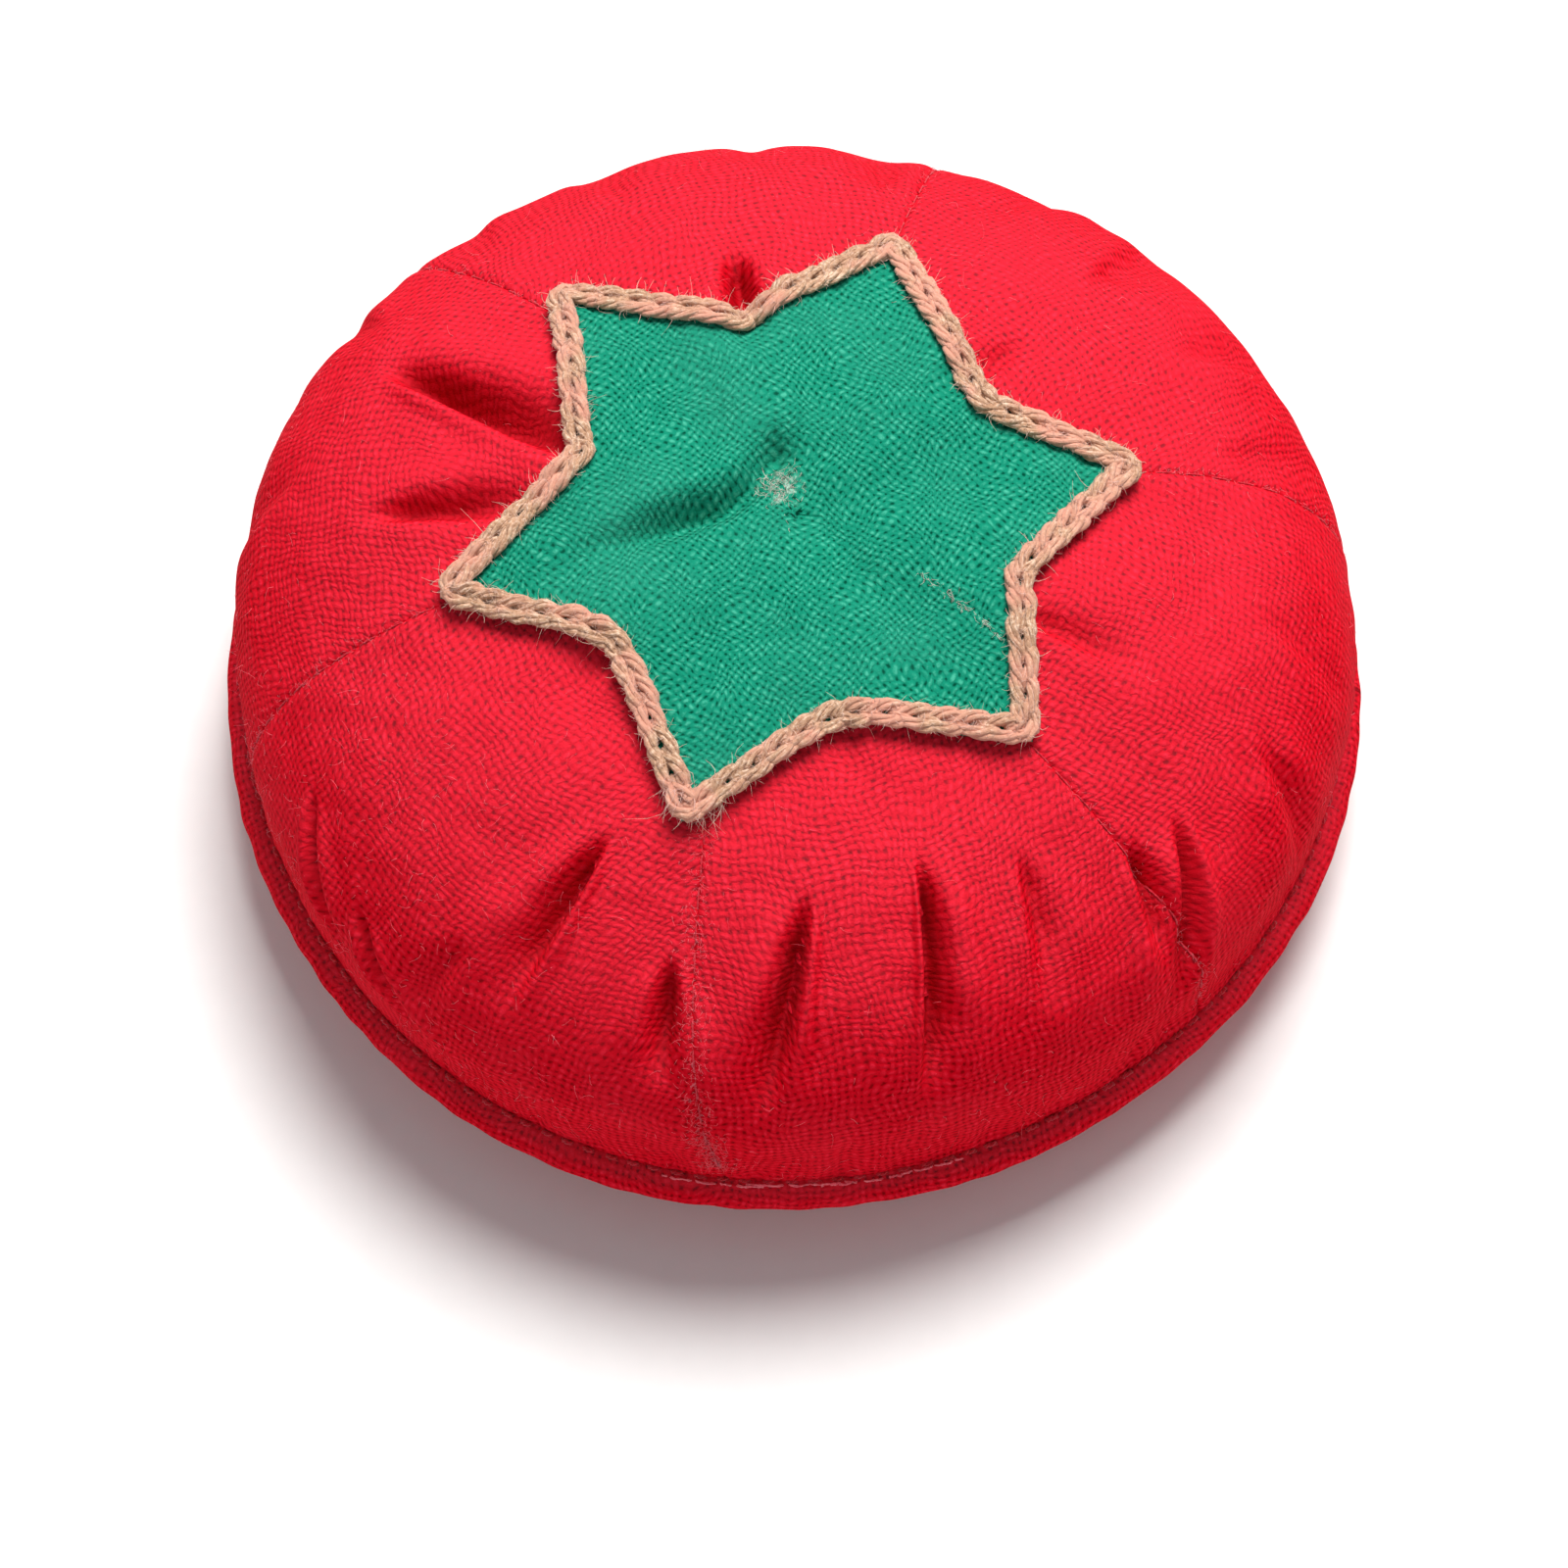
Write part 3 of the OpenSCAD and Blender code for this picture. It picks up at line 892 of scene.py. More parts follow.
# How far each corner is sewn from its place, in mm, from the first tip anticlockwise
HAND_SEWN = [(-0.37, -0.6), (1.4, -1.9), (-0.34, -0.6), (-0.5, -0.2), (0.0, 0.6), (0.3, -0.5),
             (0.14, -0.13), (-0.35, 0.1), (0.25, 0.5), (0.0, -0.5), (-0.52, 1.4), (0.5, -0.5)]


def star_corners():
    """The twelve corners of the braid's middle line, as an array of places."""
    corners = []
    for k, (dx, dy) in enumerate(HAND_SEWN):
        r = STAR_TIP if k % 2 == 0 else STAR_NOTCH
        a = math.radians(STAR_TURN + 30 * k)
        corners.append((r * math.cos(a) + dx * MM, r * math.sin(a) + dy * MM))
    return np.array(corners)


def star_radius(azimuth):
    """Radius of the star's outline in an azimuth, in degrees."""
    corners = star_corners()
    places = np.degrees(np.arctan2(corners[:, 1], corners[:, 0]))
    turned = np.mod(azimuth - places[0], 360)
    starts = np.mod(places - places[0], 360)
    i = np.clip(np.searchsorted(starts, turned, side="right") - 1, 0, 11)
    p, q = corners[i], corners[(i + 1) % 12]
    a = np.radians(azimuth)
    cross = (q[..., 1] - p[..., 1]) * np.cos(a) - (q[..., 0] - p[..., 0]) * np.sin(a)
    return (p[..., 0] * q[..., 1] - p[..., 1] * q[..., 0]) / cross


STAR_WEAVE = -38                        # direction of the star's threads, in degrees
STAR_CENTRE_R = 1.3 * MM                # inside this radius the star bridges the gores' ends
STAR_FACE = 0.5 * MM                    # heights of its two faces above the crown
STAR_UNDER = 0.14 * MM
STAR_SPREAD = 1.035                     # the cloth reaches past the braid's middle line


def star_cloth():
    """The star as a thin sheet on the crown, closed in the middle."""
    angle = np.linspace(0, 360, SPOKES, endpoint=False)
    share_grid, angle_grid = np.meshgrid(np.linspace(1, 0.012, RINGS), angle, indexing="ij")
    radius = share_grid * star_radius(angle_grid) * STAR_SPREAD
    a = angle_grid * math.pi / 180
    x, y = radius * np.cos(a), radius * np.sin(a)
    ray_r = np.maximum(radius, STAR_CENTRE_R)
    ray = zip((ray_r * np.cos(a)).ravel(), (ray_r * np.sin(a)).ravel())
    z = np.array([drop(CROWN_TREE, p, q)[0] for p, q in ray]).reshape(x.shape)
    for _ in range(4):
        z[1:-1] = (z[:-2] + z[2:] + np.roll(z, 1, 1)[1:-1] + np.roll(z, -1, 1)[1:-1]) / 4
    top = places(x, y, z + STAR_FACE)
    low = places(x, y, z + STAR_UNDER)[::UNDER_SKIP, ::UNDER_SKIP]
    low_rows, low_cols = low.shape[:2]
    n, m = x.size, low_rows * low_cols
    middle = z[-1].mean()
    verts = np.concatenate([top.reshape(-1, 3), low.reshape(-1, 3),
                            [[0, 0, middle + STAR_FACE], [0, 0, middle + STAR_UNDER]]])
    faces = grid_faces(RINGS, SPOKES, wrap=True)
    faces += grid_faces(low_rows, low_cols, n, wrap=True, flip=True)
    faces += edge_strip(range(SPOKES), range(n, n + low_cols), UNDER_SKIP)
    faces += fan(n + m, (RINGS - 1) * SPOKES, SPOKES)
    faces += fan(n + m + 1, n + (low_rows - 1) * low_cols, low_cols, flip=True)
    turn = math.radians(STAR_WEAVE)
    u = (verts[:, 0] * math.cos(turn) + verts[:, 1] * math.sin(turn)) / MM
    v = (verts[:, 1] * math.cos(turn) - verts[:, 0] * math.sin(turn)) / MM
    return make_mesh("star_cloth", verts, faces, np.stack([u, v], -1))


star = star_cloth()
finish_piece(star, GREEN, ["star_applique"])


# ---------------------------------------------------------------- braid

STAR_TREE = tree_of(crown + [star])
LINK_PITCH = 1.7 * MM
LINK_HALF = 0.50 * MM                    # half width between the middles of a link's legs
LINK_STEPS = 20                         # places along the middle line for each link
YARN_R = 0.44 * MM


def rounded_star(count, corner=0.012):
    """Evenly spaced points along the star's outline, its corners rounded, and its length."""
    corners = star_corners()
    corners = np.concatenate([corners, corners[:1]])
    fine = 2400
    t = np.linspace(0, 12, fine, endpoint=False)
    i = t.astype(int)
    points = corners[i] + (corners[i + 1] - corners[i]) * (t - i)[:, None]
    window = int(fine * corner)
    kernel = np.hanning(window + 2)[1:-1]
    kernel /= kernel.sum()
    smooth = [np.convolve(np.concatenate([points[-window:, d], points[:, d], points[:window, d]]),
                          kernel, "same")[window:-window] for d in (0, 1)]
    points = np.stack(smooth, -1)
    step = np.linalg.norm(np.roll(points, -1, 0) - points, axis=1)
    length = np.concatenate([[0], np.cumsum(step)])
    want = np.linspace(0, length[-1], count, endpoint=False)
    loop = np.concatenate([points, points[:1]])
    return np.stack([np.interp(want, length, loop[:, d]) for d in (0, 1)], -1), length[-1]


def on_surface(flat, lift, window=9):
    """Points of a closed line dropped on the star and crown, and the normals there."""
    hits = [drop(STAR_TREE, x, y) for x, y in flat]
    z = np.array([h[0] for h in hits])
    normal = np.array([tuple(h[1]) for h in hits])
    kernel = np.ones(window) / window
    wrap = lambda v: np.convolve(np.concatenate([v[-window:], v, v[:window]]), kernel, "same")
    z = wrap(z)[window:-window]
    normal = unit(np.stack([wrap(normal[:, d])[window:-window] for d in range(3)], -1))
    return np.stack([flat[:, 0], flat[:, 1], z], -1) + normal * lift, normal


def braid_frame():
    """The braid's middle line with its directions along, across and up."""
    _, length = rounded_star(100)
    links = int(round(length / LINK_PITCH))
    flat, _ = rounded_star(links * LINK_STEPS)
    middle, up = on_surface(flat, -0.10 * MM)
    along = unit(np.roll(middle, -1, 0) - np.roll(middle, 1, 0))
    across = unit(np.cross(up, along))
    return middle, along, across, up, links


# One leg of a chain stitch: along in links, across in half widths, height in mm
LEG = [(-0.42, 0.06, 0.22), (-0.20, 0.28, 0.42), (0.12, 0.72, 0.52), (0.48, 1.00, 0.56),
       (0.82, 0.98, 0.52), (1.10, 0.70, 0.36), (1.32, 0.36, 0.14)]
LEG_STEPS = 15


def leg_shape():
    """The leg's points joined by a smooth curve."""
    points = np.array([LEG[0]] + LEG + [LEG[-1]])
    t = np.linspace(0, len(LEG) - 1.001, LEG_STEPS)
    i = t.astype(int)
    f = (t - i)[:, None]
    p0, p1, p2, p3 = (points[i + d] for d in range(4))
    return 0.5 * (2 * p1 + (p2 - p0) * f + (2 * p0 - 5 * p1 + 4 * p2 - p3) * f ** 2
                  + (3 * p1 - p0 - 3 * p2 + p3) * f ** 3)


def star_braid():
    """Chain stitched braid: two soft legs for each link, tucked into the links beside it."""
    middle, along, across, up, links = braid_frame()
    rng = np.random.default_rng(21)
    shape = leg_shape()
    paths, ups = [], []
    total = len(middle)
    for k in range(links):
        for side in (-1, 1):
            wobble = rng.normal(0, 1, 4)
            place = k + shape[:, 0] * (1 + 0.05 * wobble[0]) + 0.05 * wobble[1]
            place = place * LINK_STEPS % total
            i = place.astype(int) % total
            reach = side * shape[:, 1] * LINK_HALF * (1 + 0.06 * wobble[2])
            height = shape[:, 2] * MM * (1 + 0.08 * wobble[3])
            rest = ((place - np.floor(place)) * LINK_PITCH / LINK_STEPS)[:, None]
            paths.append(middle[i] + along[i] * rest + across[i] * reach[:, None]
                         + up[i] * height[:, None])
            ups.append(up[i])
    paths, ups = np.array(paths), np.array(ups)
    ends = np.abs(np.linspace(-1, 1, LEG_STEPS))
    lumps = rng.normal(0, 0.07, (len(paths), LEG_STEPS))
    taper = (1 - 0.45 * ends ** 3) * (1 + lumps + 0.5 * np.roll(lumps, 1, 1))
    chain = twisted(paths, YARN_R, ups, 4.5, plies=4, sides=6, taper=taper, flat=0.8)
    return make_mesh("star_braid_chain", *chain), paths, ups


braid, braid_paths, braid_ups = star_braid()
finish_piece(braid, BRAID, ["star_braid"])


def fibres(name, base, heading, length, radius, curl, seed, steps=4):
    """Loose fibres: each starts at base, leaves along heading and curls a little."""
    rng = np.random.default_rng(seed)
    count = len(base)
    t = np.linspace(0, 1, steps)[None, :, None]
    bend = unit(np.cross(heading, rng.normal(size=(count, 3))))
    second = unit(np.cross(heading, bend))
    size = length[:, None, None]
    swing = rng.normal(0, 1, (count, 1, 1)) * curl
    twist = rng.normal(0, 1, (count, 1, 1)) * curl
    paths = (base[:, None] + heading[:, None] * t * size + bend[:, None] * swing * t ** 2 * size
             + second[:, None] * twist * np.sin(t * 4) * 0.3 * size)
    taper = np.broadcast_to(radius, (count,))[:, None] * (1 - 0.75 * t[:, :, 0])
    return make_mesh(name, *tubes(paths, taper, bend[:, None], sides=3))


def braid_fuzz():
    """Short fibres standing off the braid's yarn, the longest at the front tip."""
    rng = np.random.default_rng(22)
    count = 7600
    link = rng.integers(0, len(braid_paths), count)
    point = rng.integers(0, braid_paths.shape[1], count)
    base = braid_paths[link, point]
    up = braid_ups[link, point]
    heading = unit(rng.normal(size=(count, 3)) + up * 0.4)
    base = base + heading * YARN_R * 0.7
    length = rng.gamma(2.2, 0.17, count).clip(0.15, 1.1) * MM
    front = 8
    tip = star_corners()[front]
    outward = np.array([tip[0], tip[1], -0.5 * STAR_TIP]) / STAR_TIP
    near = np.hypot(base[:, 0] - tip[0], base[:, 1] - tip[1]) < 2.6 * MM
    loose = near & (rng.uniform(size=count) < 0.45)
    heading[loose] = unit(outward + 0.45 * rng.normal(size=(loose.sum(), 3)))
    length[loose] = rng.uniform(0.6, 1.9, loose.sum()) * MM
    return fibres("star_braid_fuzz", base, heading, length, 0.023 * MM, 0.6, 23)


fuzz = braid_fuzz()
finish_piece(fuzz, BRAID_FUZZ)


# ---------------------------------------------------------------- threads of the crown

def seam_threads():
    """The thread that shows in the six gore seams as short stitches."""
    parts = []
    first, pitch, share = 18.5, 1.9, 0.86
    for k in range(6):
        for n in range(int((HEM_S - first - 0.5) / pitch)):
            s = first + n * pitch + np.linspace(0, pitch * share, 7)
            path = crown_points(seam_azimuth(k, s), s, -0.06 * MM)
            dip = np.array([-0.2, 0.0, 0.03, 0.04, 0.03, 0.0, -0.2]) * MM
            _, _, out, up = section(s)
            normal = polar(out, seam_azimuth(k, s) * math.pi / 180, up)
            path = path + normal * dip[:, None]
            parts.append(twisted(path[None], 0.07 * MM, normal[None], 0.5, sides=5))
    return make_mesh("gore_seam_stitches", *joined(parts))


finish_piece(seam_threads(), SEAM_THREAD, ["gore_seam_threads"])


def gather_thread():
    """Running thread round the hem, rising and falling through the gathers."""
    low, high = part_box("gather_thread")
    steps = 480
    a = np.linspace(0, 2 * math.pi, steps, endpoint=False)
    radius = high.x - 0.2 * MM + 0.12 * MM * np.sin(a * 60)
    z = (low.z + high.z) / 2 + 0.05 * MM * np.cos(a * 60)
    path = polar(radius, a, z)[None]
    return make_mesh("gather_running_thread",
                     *twisted(path, 0.2 * MM, UP, 1.1, sides=5, closed=True))


finish_piece(gather_thread(), RED_THREAD, ["gather_thread"])


def filling():
    """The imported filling: a closed form that lies inside every fold of the crown's cloth."""
    rows, cols, fine = 60, 180, 4
    s_line = np.linspace(1.2, HEM_S - 1.6, rows * fine)
    a_line = np.arange(cols * fine) / (cols * fine) * 360
    s, theta = np.meshgrid(s_line, a_line, indexing="ij")
    lift = crown_lift(theta, s).reshape(rows, fine, cols, fine).min(axis=(1, 3))
    lift = np.minimum(lift, np.minimum(np.roll(lift, 1, 1), np.roll(lift, -1, 1)))
    lift[1:-1] = np.minimum(lift[1:-1], np.minimum(lift[:-2], lift[2:]))
    s = s.reshape(rows, fine, cols, fine).mean(axis=(1, 3))
    theta = theta.reshape(rows, fine, cols, fine).mean(axis=(1, 3))
    plain = dome_point(theta, s, 0 * s)
    lump = np.abs(ripple(plain, 3.5 * MM, 31)) * 0.3 * MM
    place = dome_point(theta, s, lift - CLOTH_T - 0.2 * MM - lump)
    floor_z = BOARD_Z + 0.15 * MM
    below = place[-1].copy()
    below *= np.array([0.93, 0.93, 1.0])
    below[:, 2] = floor_z
    verts = np.concatenate([place.reshape(-1, 3), below,
                            [[0, 0, place[0, :, 2].mean()], [0, 0, floor_z]]])
    faces = grid_faces(rows + 1, cols, wrap=True, flip=True)
    faces += fan(len(verts) - 2, 0, cols)
    faces += fan(len(verts) - 1, rows * cols, cols, flip=True)
    return make_mesh("fibre_filling", verts, faces)


stuffing = filling()
finish_piece(stuffing, FILLING, ["stuffing"])


def centre_stitch():
    """The thread through the middle and its two small bars on the star."""
    low_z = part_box("centre_stitch")[0].z
    beside = 0.9 * MM
    top_z = drop(STAR_TREE, beside, beside)[0]
    shaft = places(0.0, 0.0, low_z + (top_z - low_z) * np.linspace(0, 1, 40))[None]
    parts = [twisted(shaft, 0.24 * MM, SIDEWAYS, 1.6, sides=6)]
    for turn, half in ((25, 0.75), (105, 0.6)):
        a = math.radians(turn)
        u = np.linspace(-1, 1, 15)
        x, y = u * half * MM * math.cos(a), u * half * MM * math.sin(a)
        bar = places(x, y, top_z + (0.16 - 0.5 * u ** 4) * MM)[None]
        parts.append(twisted(bar, 0.17 * MM, UP, 0.8, sides=6))
    return make_mesh("centre_stitch_thread", *joined(parts))


finish_piece(centre_stitch(), GREEN, ["centre_stitch"])


def worn_fibres():
    """Pale fibres rubbed up at the centre stitch and along a line towards the sixth tip."""
    rng = np.random.default_rng(81)
    count, along_line = 190, 110
    start, end = np.array([7.4, -4.5]) * MM, np.array([13.2, -9.2]) * MM
    spread = rng.normal(0, 0.65, (count, 2)) * MM
    flat = spread + np.array([-0.7, 1.6]) * MM
    share = rng.choice((0.05, 0.12, 0.30, 0.42, 0.50, 0.66, 0.82, 0.95), along_line)
    share = share + rng.normal(0, 0.03, along_line)
    line = start + share[:, None] * (end - start) + rng.normal(0, 0.12, (along_line, 2)) * MM
    flat = np.concatenate([flat, line])
    base = np.array([(x, y, drop(STAR_TREE, x, y)[0]) for x, y in flat])
    heading = rng.normal(size=base.shape) * (1, 1, 0.25)
    heading[count:] += 2.0 * np.append(unit(end - start), 0)
    length = rng.uniform(0.25, 0.85, len(base)) * MM
    length[count:] *= 0.7
    return fibres("star_worn_fibres", base, unit(heading), length, 0.020 * MM, 0.6, 82)


finish_piece(worn_fibres(), PALE_THREAD)


# ---------------------------------------------------------------- base and rim

RIM_COLS = 720
PANEL_T = 0.7 * MM                      # thickness of the panel with its lining


def rim_section():
    """The panel's section as (radius, height), and a column that says what is on the roll."""
    side_r, side_z = RIM_R - RIM_TUBE / 2 - FLAT_R, RIM_MID - BASE_Z
    under = [(FLAT_R * f, BASE_Z) for f in np.linspace(0.02, 1, 20)]
    under += [(FLAT_R + side_r * math.sin(a), RIM_MID - side_z * math.cos(a))
              for a in np.radians(np.linspace(6, 62, 9))]
    roll = [(ROLL_R + RIM_TUBE * math.cos(a), RIM_MID + RIM_TUBE * math.sin(a))
            for a in np.radians(np.linspace(-52, 160, 36))]
    back = [(FLAT_R + side_r * math.sin(a) - PANEL_T, RIM_MID - (side_z - PANEL_T) * math.cos(a))
            for a in np.radians((60, 30, 0))]
    back += [(FLAT_R * f, BASE_Z + PANEL_T) for f in (0.7, 0.4, 0.02)]
    row = np.arange(len(under + roll + back))[:, None]
    return np.array(under + roll + back), (row >= len(under)) & (row < len(under + roll))


def roll_relief(flat, turn, near_top, on_roll):
    """How far the roll stands off its plain tube: dents at the stitches, and small wrinkles."""
    relief = -0.12 * MM * near_top * (0.5 + 0.5 * np.cos(turn * RIM_STITCHES + math.pi))
    relief += 0.03 * MM * ripple(flat, 2.6 * MM, 41) * on_roll
    relief += 0.06 * MM * ripple(flat, 11 * MM, 42) * on_roll
    pucker = np.cos(turn * 67 + 2.2 * np.sin(turn * 5))
    return relief + 0.03 * MM * pucker * on_roll * (1 - near_top)


def base_cloth():
    """The base panel with its edge rolled into the rim, puckered at every top stitch."""
    line, on_roll = rim_section()
    rows = len(line)
    turn = np.repeat(np.linspace(0, 2 * math.pi, RIM_COLS, endpoint=False)[None], rows, 0)
    r, z = np.repeat(line[:, :1], RIM_COLS, 1), np.repeat(line[:, 1:], RIM_COLS, 1)
    flat = polar(r, turn, z)
    out, up = r - ROLL_R, z - RIM_MID
    size = np.maximum(np.hypot(out, up), 1e-6)
    relief = roll_relief(flat, turn, smooth_step(up / size, 0.1, 0.95) * on_roll, on_roll)
    quilt = 0.05 * MM * ripple(flat, 6 * MM, 43) + 0.09 * MM * ripple(flat, 17 * MM, 44)
    flat_part = ~on_roll & (z < BASE_Z + 0.1 * MM)
    radius = r + relief * out / size + outline(np.degrees(turn)) * smooth_step(r, FLAT_R, ROLL_R)
    height = z + relief * up / size + np.where(flat_part, np.abs(quilt) * 0.6, 0)
    verts = np.concatenate([polar(radius, turn, height).reshape(-1, 3),
                            [[0, 0, BASE_Z], [0, 0, BASE_Z + PANEL_T]]])
    on_rim = np.stack(np.broadcast_arrays(turn * RIM_R, run_length(line)[:, None]), -1) / MM
    uv = np.where(on_roll[:, :, None], on_rim, flat[..., :2] / MM)
    uv = np.concatenate([uv.reshape(-1, 2), [[0, 0], [0, 0]]])
    faces = grid_faces(rows, RIM_COLS, wrap=True)
    faces += fan(rows * RIM_COLS, 0, RIM_COLS, flip=True)
    faces += fan(rows * RIM_COLS + 1, (rows - 1) * RIM_COLS, RIM_COLS)
    return make_mesh("base_cloth", verts, faces, uv)


base = base_cloth()
finish_piece(base, RED, ["base_panel"])

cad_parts["base_board"].data.materials.clear()
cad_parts["base_board"].data.materials.append(BOARD)


def rim_stitches():
    """Top stitches sunk in the groove between crown and rim."""
    rng = np.random.default_rng(51)
    pitch = 2 * math.pi / RIM_STITCHES
    paths, ups = [], []
    groove_r, groove_z = HEM_R + 0.12 * MM, RIM_TOP + 0.02 * MM
    for k in range(RIM_STITCHES):
        a = (k + np.linspace(-0.31, 0.31, 9)) * pitch + rng.normal(0, 0.02) * pitch
        dip = np.array([-0.45, -0.12, 0.02, 0.06, 0.08, 0.06, 0.02, -0.12, -0.45]) * MM
        r = groove_r + dip * 0.3 + outline(np.degrees(a))
        paths.append(polar(r, a, groove_z + dip))
        ups.append(polar(0.5, a, 0.86))
    return make_mesh("rim_top_stitches",
                     *twisted(np.array(paths), 0.17 * MM, np.array(ups), 0.7, sides=6))


finish_piece(rim_stitches(), RED_THREAD, ["rim_stitches"])


# ---------------------------------------------------------------- lint

def crown_lint():
    """Fine fibres lying on the red cloth, thickest at the front and along the seams."""
    rng = np.random.default_rng(61)
    spread = [(0, 360, 14, HEM_S, 700), (195, 245, 24, 45, 420), (225, 300, 38, 46, 110),
              (150, 200, 34, 45, 160)]
    theta = np.concatenate([rng.uniform(a, b, n) for a, b, _, _, n in spread])
    s = np.concatenate([rng.uniform(a, b, n) for _, _, a, b, n in spread])
    length = rng.uniform(0.3, 1.0, len(s))
    for k, count, reach in ((0, 150, 0.3), (1, 150, 0.3), (2, 150, 0.3), (3, 260, 0.4),
                            (4, 900, 0.6), (5, 150, 0.3)):
        down = HEM_S - 2 - (HEM_S - 22) * rng.uniform(0, 1, count) ** 1.4
        aside = rng.normal(0, reach, count) * MM / section(down)[0] * 180 / math.pi
        theta = np.concatenate([theta, seam_azimuth(k, down) + aside])
        s = np.concatenate([s, down])
        length = np.concatenate([length, rng.uniform(0.15, 0.6, count)])
    base = crown_points(theta, s, 0.0)
    _, _, out, up = section(s)
    normal = polar(out, theta * math.pi / 180, up)
    heading = rng.normal(size=base.shape)
    heading = unit(heading - (heading * normal).sum(-1, keepdims=True) * normal)
    heading = unit(heading + normal * rng.uniform(0.0, 0.22, (len(base), 1)))
    bare = np.hypot(base[:, 0], base[:, 1]) > star_radius(theta)
    return fibres("crown_lint", base[bare], heading[bare], length[bare] * MM,
                  rng.uniform(0.008, 0.016, bare.sum()) * MM, 0.6, 62)


finish_piece(crown_lint(), RED_LINT)


def loose_threads():
    """Short wavy ends of thread caught in the rim's groove at the front."""
    rng = np.random.default_rng(71)
    paths, ups = [], []
    for a, b in ((256.5, 264.0), (258.5, 268.0), (265.5, 276.0), (273.0, 281.0), (281.0, 287.5)):
        t = np.linspace(0, 1, 24)
        az = (a + (b - a) * t) * math.pi / 180
        wave = 0.5 * np.sin(t * rng.uniform(14, 26) + rng.uniform(0, 6))
        wave = wave + 0.4 * np.sin(t * rng.uniform(30, 44) + rng.uniform(0, 6))
        r = HEM_R + (0.45 + 0.3 * wave) * MM + outline(np.degrees(az))
        z = RIM_TOP + (0.02 + wave * 0.5 + rng.uniform(-0.1, 0.15)) * MM
        paths.append(polar(r, az, z))
        ups.append(polar(0.5, az, 0.86))
    return make_mesh("loose_seam_threads",
                     *twisted(np.array(paths), 0.085 * MM, np.array(ups), 0.5, sides=5))


finish_piece(loose_threads(), RED_LINT)


# ---------------------------------------------------------------- wristband

def band_strip(name, path, normal):
    """Ribbed elastic along a path in the XZ plane, BAND_T thick, across the full width."""
    across = np.linspace(-1, 1, 97)
    width = BAND_Y - 0.15 * MM
    y = across * width
    rib = np.abs(np.sin(math.pi * y / MM / RIB_MM))
    edge = np.sqrt(np.clip(1 - np.power(np.abs(across), 26), 0, 1))
    half = (BAND_T / 2 - 0.2 * MM + 0.17 * MM * rib) * np.maximum(edge, 0.25)
    steps = len(path)
    length = run_length(path) / MM
    rows = []
    for sign in (1, -1):
        grid = np.repeat(path[:, None], len(y), 1) + sign * normal[:, None] * half[None, :, None]
        grid[:, :, 1] = y[None]
        rows.append(grid)
    uv = np.stack([np.repeat(length[:, None], len(y), 1), np.repeat(y[None] / MM, steps, 0)], -1)
    return closed_sheet(name, rows[0], rows[1], uv)


def straight(x0, x1, z, step=0.6 * MM):
    count = max(int(abs(x1 - x0) / step), 2)
    x = np.linspace(x0, x1, count)
    path = places(x, 0.0, z)
    return path, np.broadcast_to(UP, path.shape)


def band_side(sign):
    """Fold at one end with the lower run's outer part, from the fold to the middle."""
    mid_r = FOLD_R - BAND_T / 2
    bend = np.linspace(math.pi / 2, -math.pi / 2, 20)
    fold = places(FOLD_X + mid_r * np.cos(bend), 0.0, FOLD_R + mid_r * np.sin(bend))
    fold_up = places(np.cos(bend), 0.0, np.sin(bend))
    run, run_up = straight(FOLD_X, BAND_MID, BAND_T / 2)
    path = np.concatenate([fold, run[1:]])
    normal = np.concatenate([fold_up, -run_up[1:]])
    path = path * np.array([sign, 1, 1])
    normal = normal * np.array([sign, 1, 1])
    hand = "right" if sign > 0 else "left"
    side = band_strip("band_side_" + hand, path, normal)
    side.data.materials.append(ELASTIC)
    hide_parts("wristband_side_" + hand)
    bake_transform(side)
    return side


upper = band_strip("band_upper_run", *straight(-FOLD_X, FOLD_X, BAND_TOP - BAND_T / 2))
finish_piece(upper, ELASTIC, ["wristband_top"])
lower = band_strip("band_lower_middle", *straight(-BAND_MID, BAND_MID, BAND_T / 2))
finish_piece(lower, ELASTIC, ["wristband_bottom"], LOWER_RUN)
for sign in (-1, 1):
    band_side(sign)


def stitch_rows(name, node, rows, along):
    """Small twisted stitches in the band at these places, along x or along y."""
    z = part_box(node)[1].z - 0.02 * MM
    paths = []
    for x, y in rows:
        u = np.linspace(-1, 1, 9)
        dip = z - 0.13 * MM * (1 - u ** 4)
        shift = u * 0.8 * MM
        place = (x + shift, y, dip) if along == "x" else (x, y + shift, dip)
        paths.append(places(*place))
    threads = make_mesh(name, *twisted(np.array(paths), 0.13 * MM, UP, 0.6, sides=5))
    return finish_piece(threads, PALE_THREAD, [node])


ROW_Y = np.linspace(-8, 8, 7) * MM
TACK_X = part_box("band_tack_stitches")[1].x - 0.16 * MM
stitch_rows("band_tack_threads", "band_tack_stitches",
            [(x, y) for x in (-TACK_X, TACK_X) for y in ROW_Y], "y")
stitch_rows("band_join_threads", "band_join_stitches", [(0.0, y) for y in ROW_Y], "x")


# ---------------------------------------------------------------- stage, light and camera

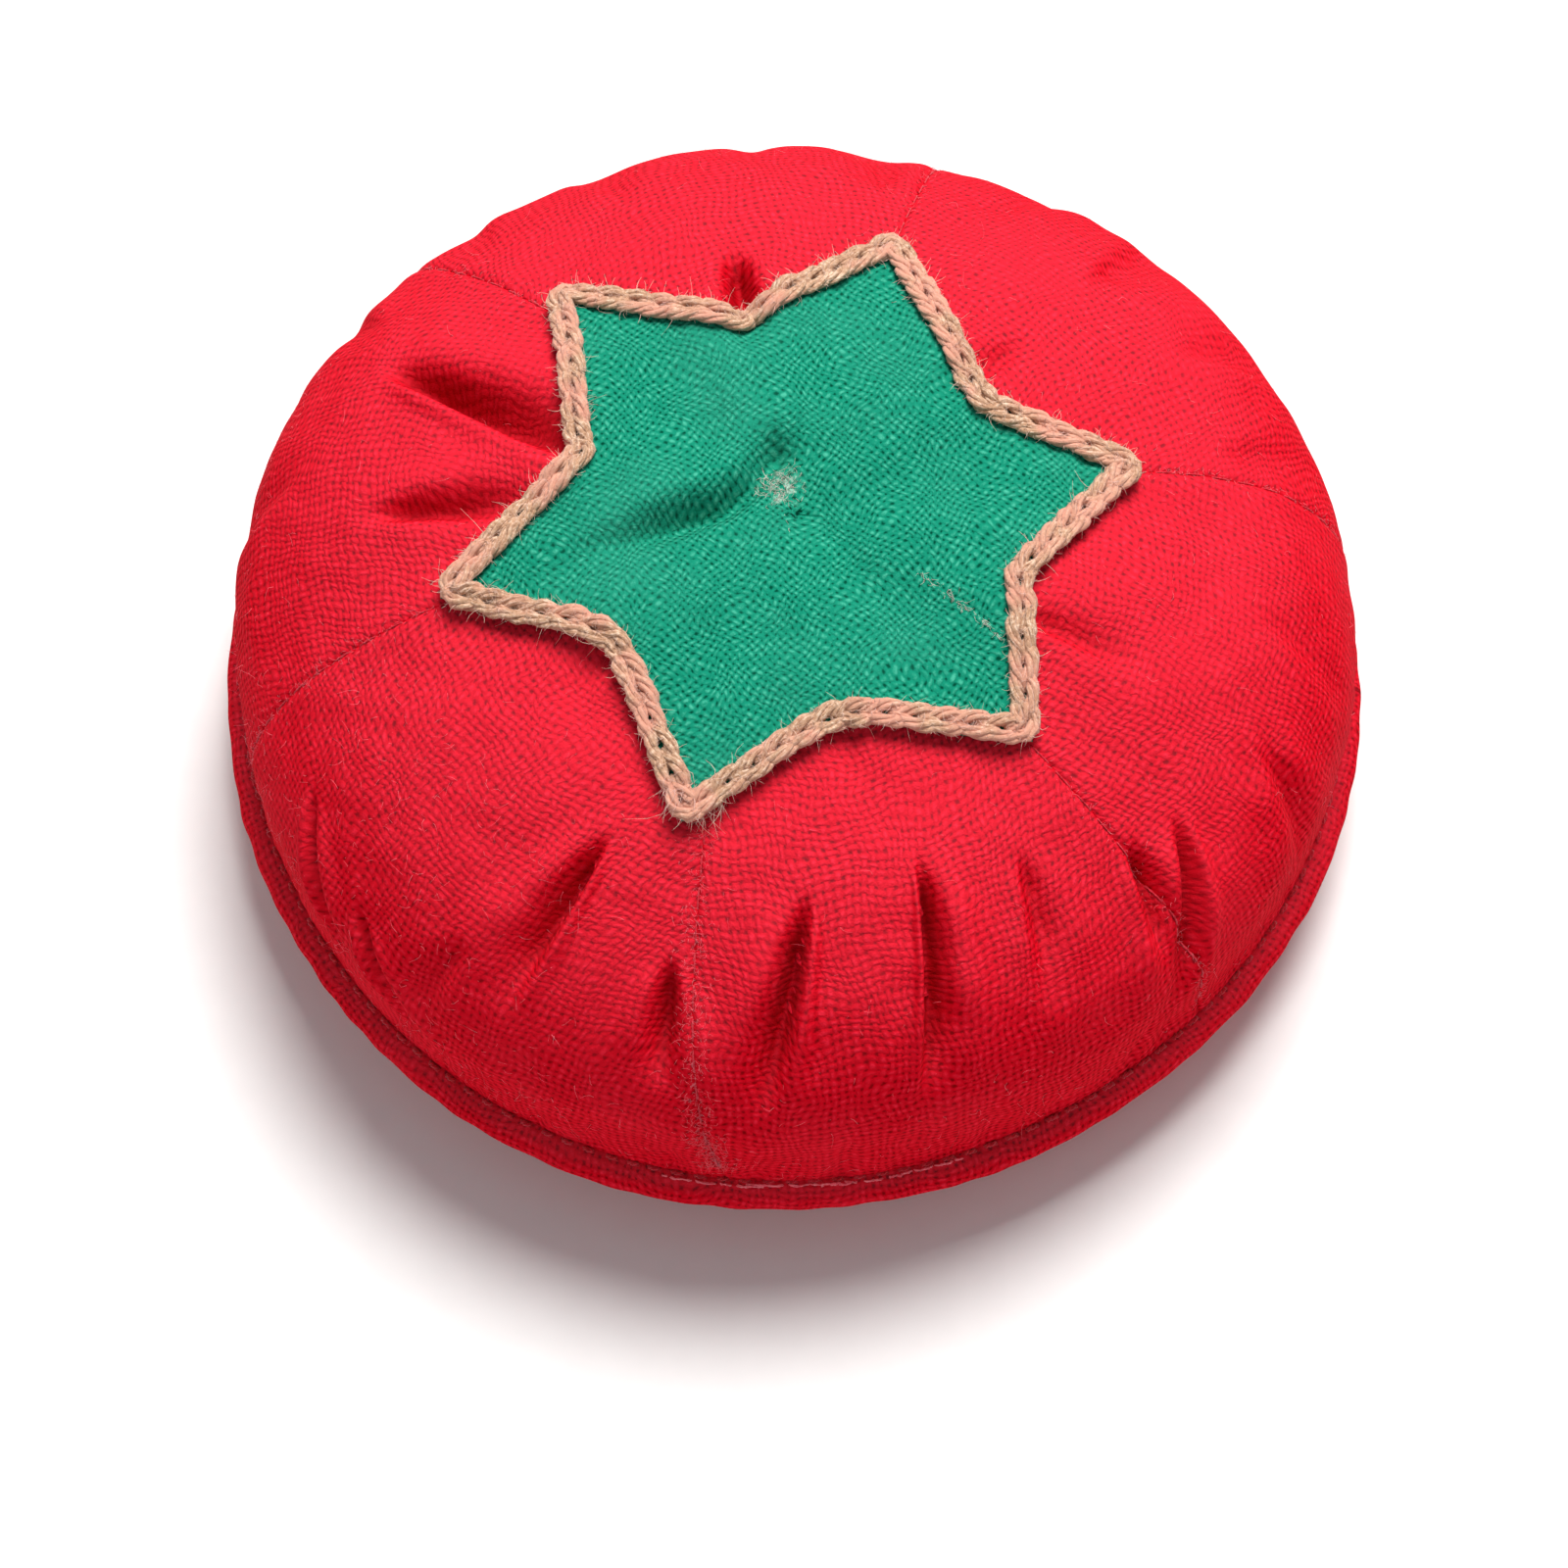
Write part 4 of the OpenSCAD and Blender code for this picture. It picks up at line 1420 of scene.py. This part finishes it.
def stage():
    """A pale floor that runs out of sight."""
    size, rings = 6.0, 24
    line = np.linspace(-size / 2, size / 2, rings)
    x, y = np.meshgrid(line, line, indexing="ij")
    verts = places(x, y, -0.02 * MM).reshape(-1, 3)
    floor = make_mesh("floor", verts, grid_faces(rings, rings))
    material, _, shader, _, place = new_material("floor_paper")
    grey, pale = (0.86, 0.86, 0.86), (0.9, 0.9, 0.9)
    surface(shader, place.noise(0.5, 3.0).mix(grey, pale), 0.9)
    floor.data.materials.append(material)


def area_light(name, place, target, size, power, colour=(1, 1, 1)):
    data = bpy.data.lights.new(name, "AREA")
    data.shape = "DISK"
    data.size = size
    data.energy = power
    data.color = colour
    light = bpy.data.objects.new(name, data)
    light.location = place
    light.rotation_mode = "QUATERNION"
    light.rotation_quaternion = (Vector(target) - Vector(place)).to_track_quat("-Z", "Y")
    bpy.context.scene.collection.objects.link(light)


def lights():
    target = (0, 0, 0.02)
    area_light("key", (0.09, 0.27, 0.62), target, 0.40, 7.1, (1.0, 0.985, 0.96))
    area_light("fill", (-0.12, -0.52, 0.5), target, 0.6, 0.62)
    world = bpy.data.worlds.new("studio")
    bpy.context.scene.world = world
    world.use_nodes = True
    world.node_tree.nodes["Background"].inputs["Color"].default_value = (0.95, 0.97, 1, 1)
    world.node_tree.nodes["Background"].inputs["Strength"].default_value = 0.26


VIEW_ELEVATION = 61.0                    # degrees above the horizon, seen from -Y
VIEW_DISTANCE = 0.40
VIEW_WIDTH = 0.0963                      # width of the view at that distance
AIM_HEIGHT = 12 * MM
AIM_RIGHT = -0.51 * MM                    # the object stands a little off the view's middle
AIM_DOWN = 8.3 * MM


def camera():
    e = math.radians(VIEW_ELEVATION)
    forward = Vector((0, math.cos(e), -math.sin(e)))
    up = Vector((0, math.sin(e), math.cos(e)))
    middle = Vector((0, 0, AIM_HEIGHT))
    data = bpy.data.cameras.new("camera")
    data.lens = 36 * VIEW_DISTANCE / VIEW_WIDTH
    data.clip_start, data.clip_end = 0.01, 20
    cam = bpy.data.objects.new("camera", data)
    cam.location = middle - forward * VIEW_DISTANCE
    aim = middle - up * AIM_DOWN + Vector((AIM_RIGHT, 0, 0))
    cam.rotation_mode = "QUATERNION"
    cam.rotation_quaternion = (aim - cam.location).to_track_quat("-Z", "Y")
    bpy.context.scene.collection.objects.link(cam)
    bpy.context.scene.camera = cam


stage()
lights()
camera()
bpy.context.scene.view_settings.view_transform = "Standard"
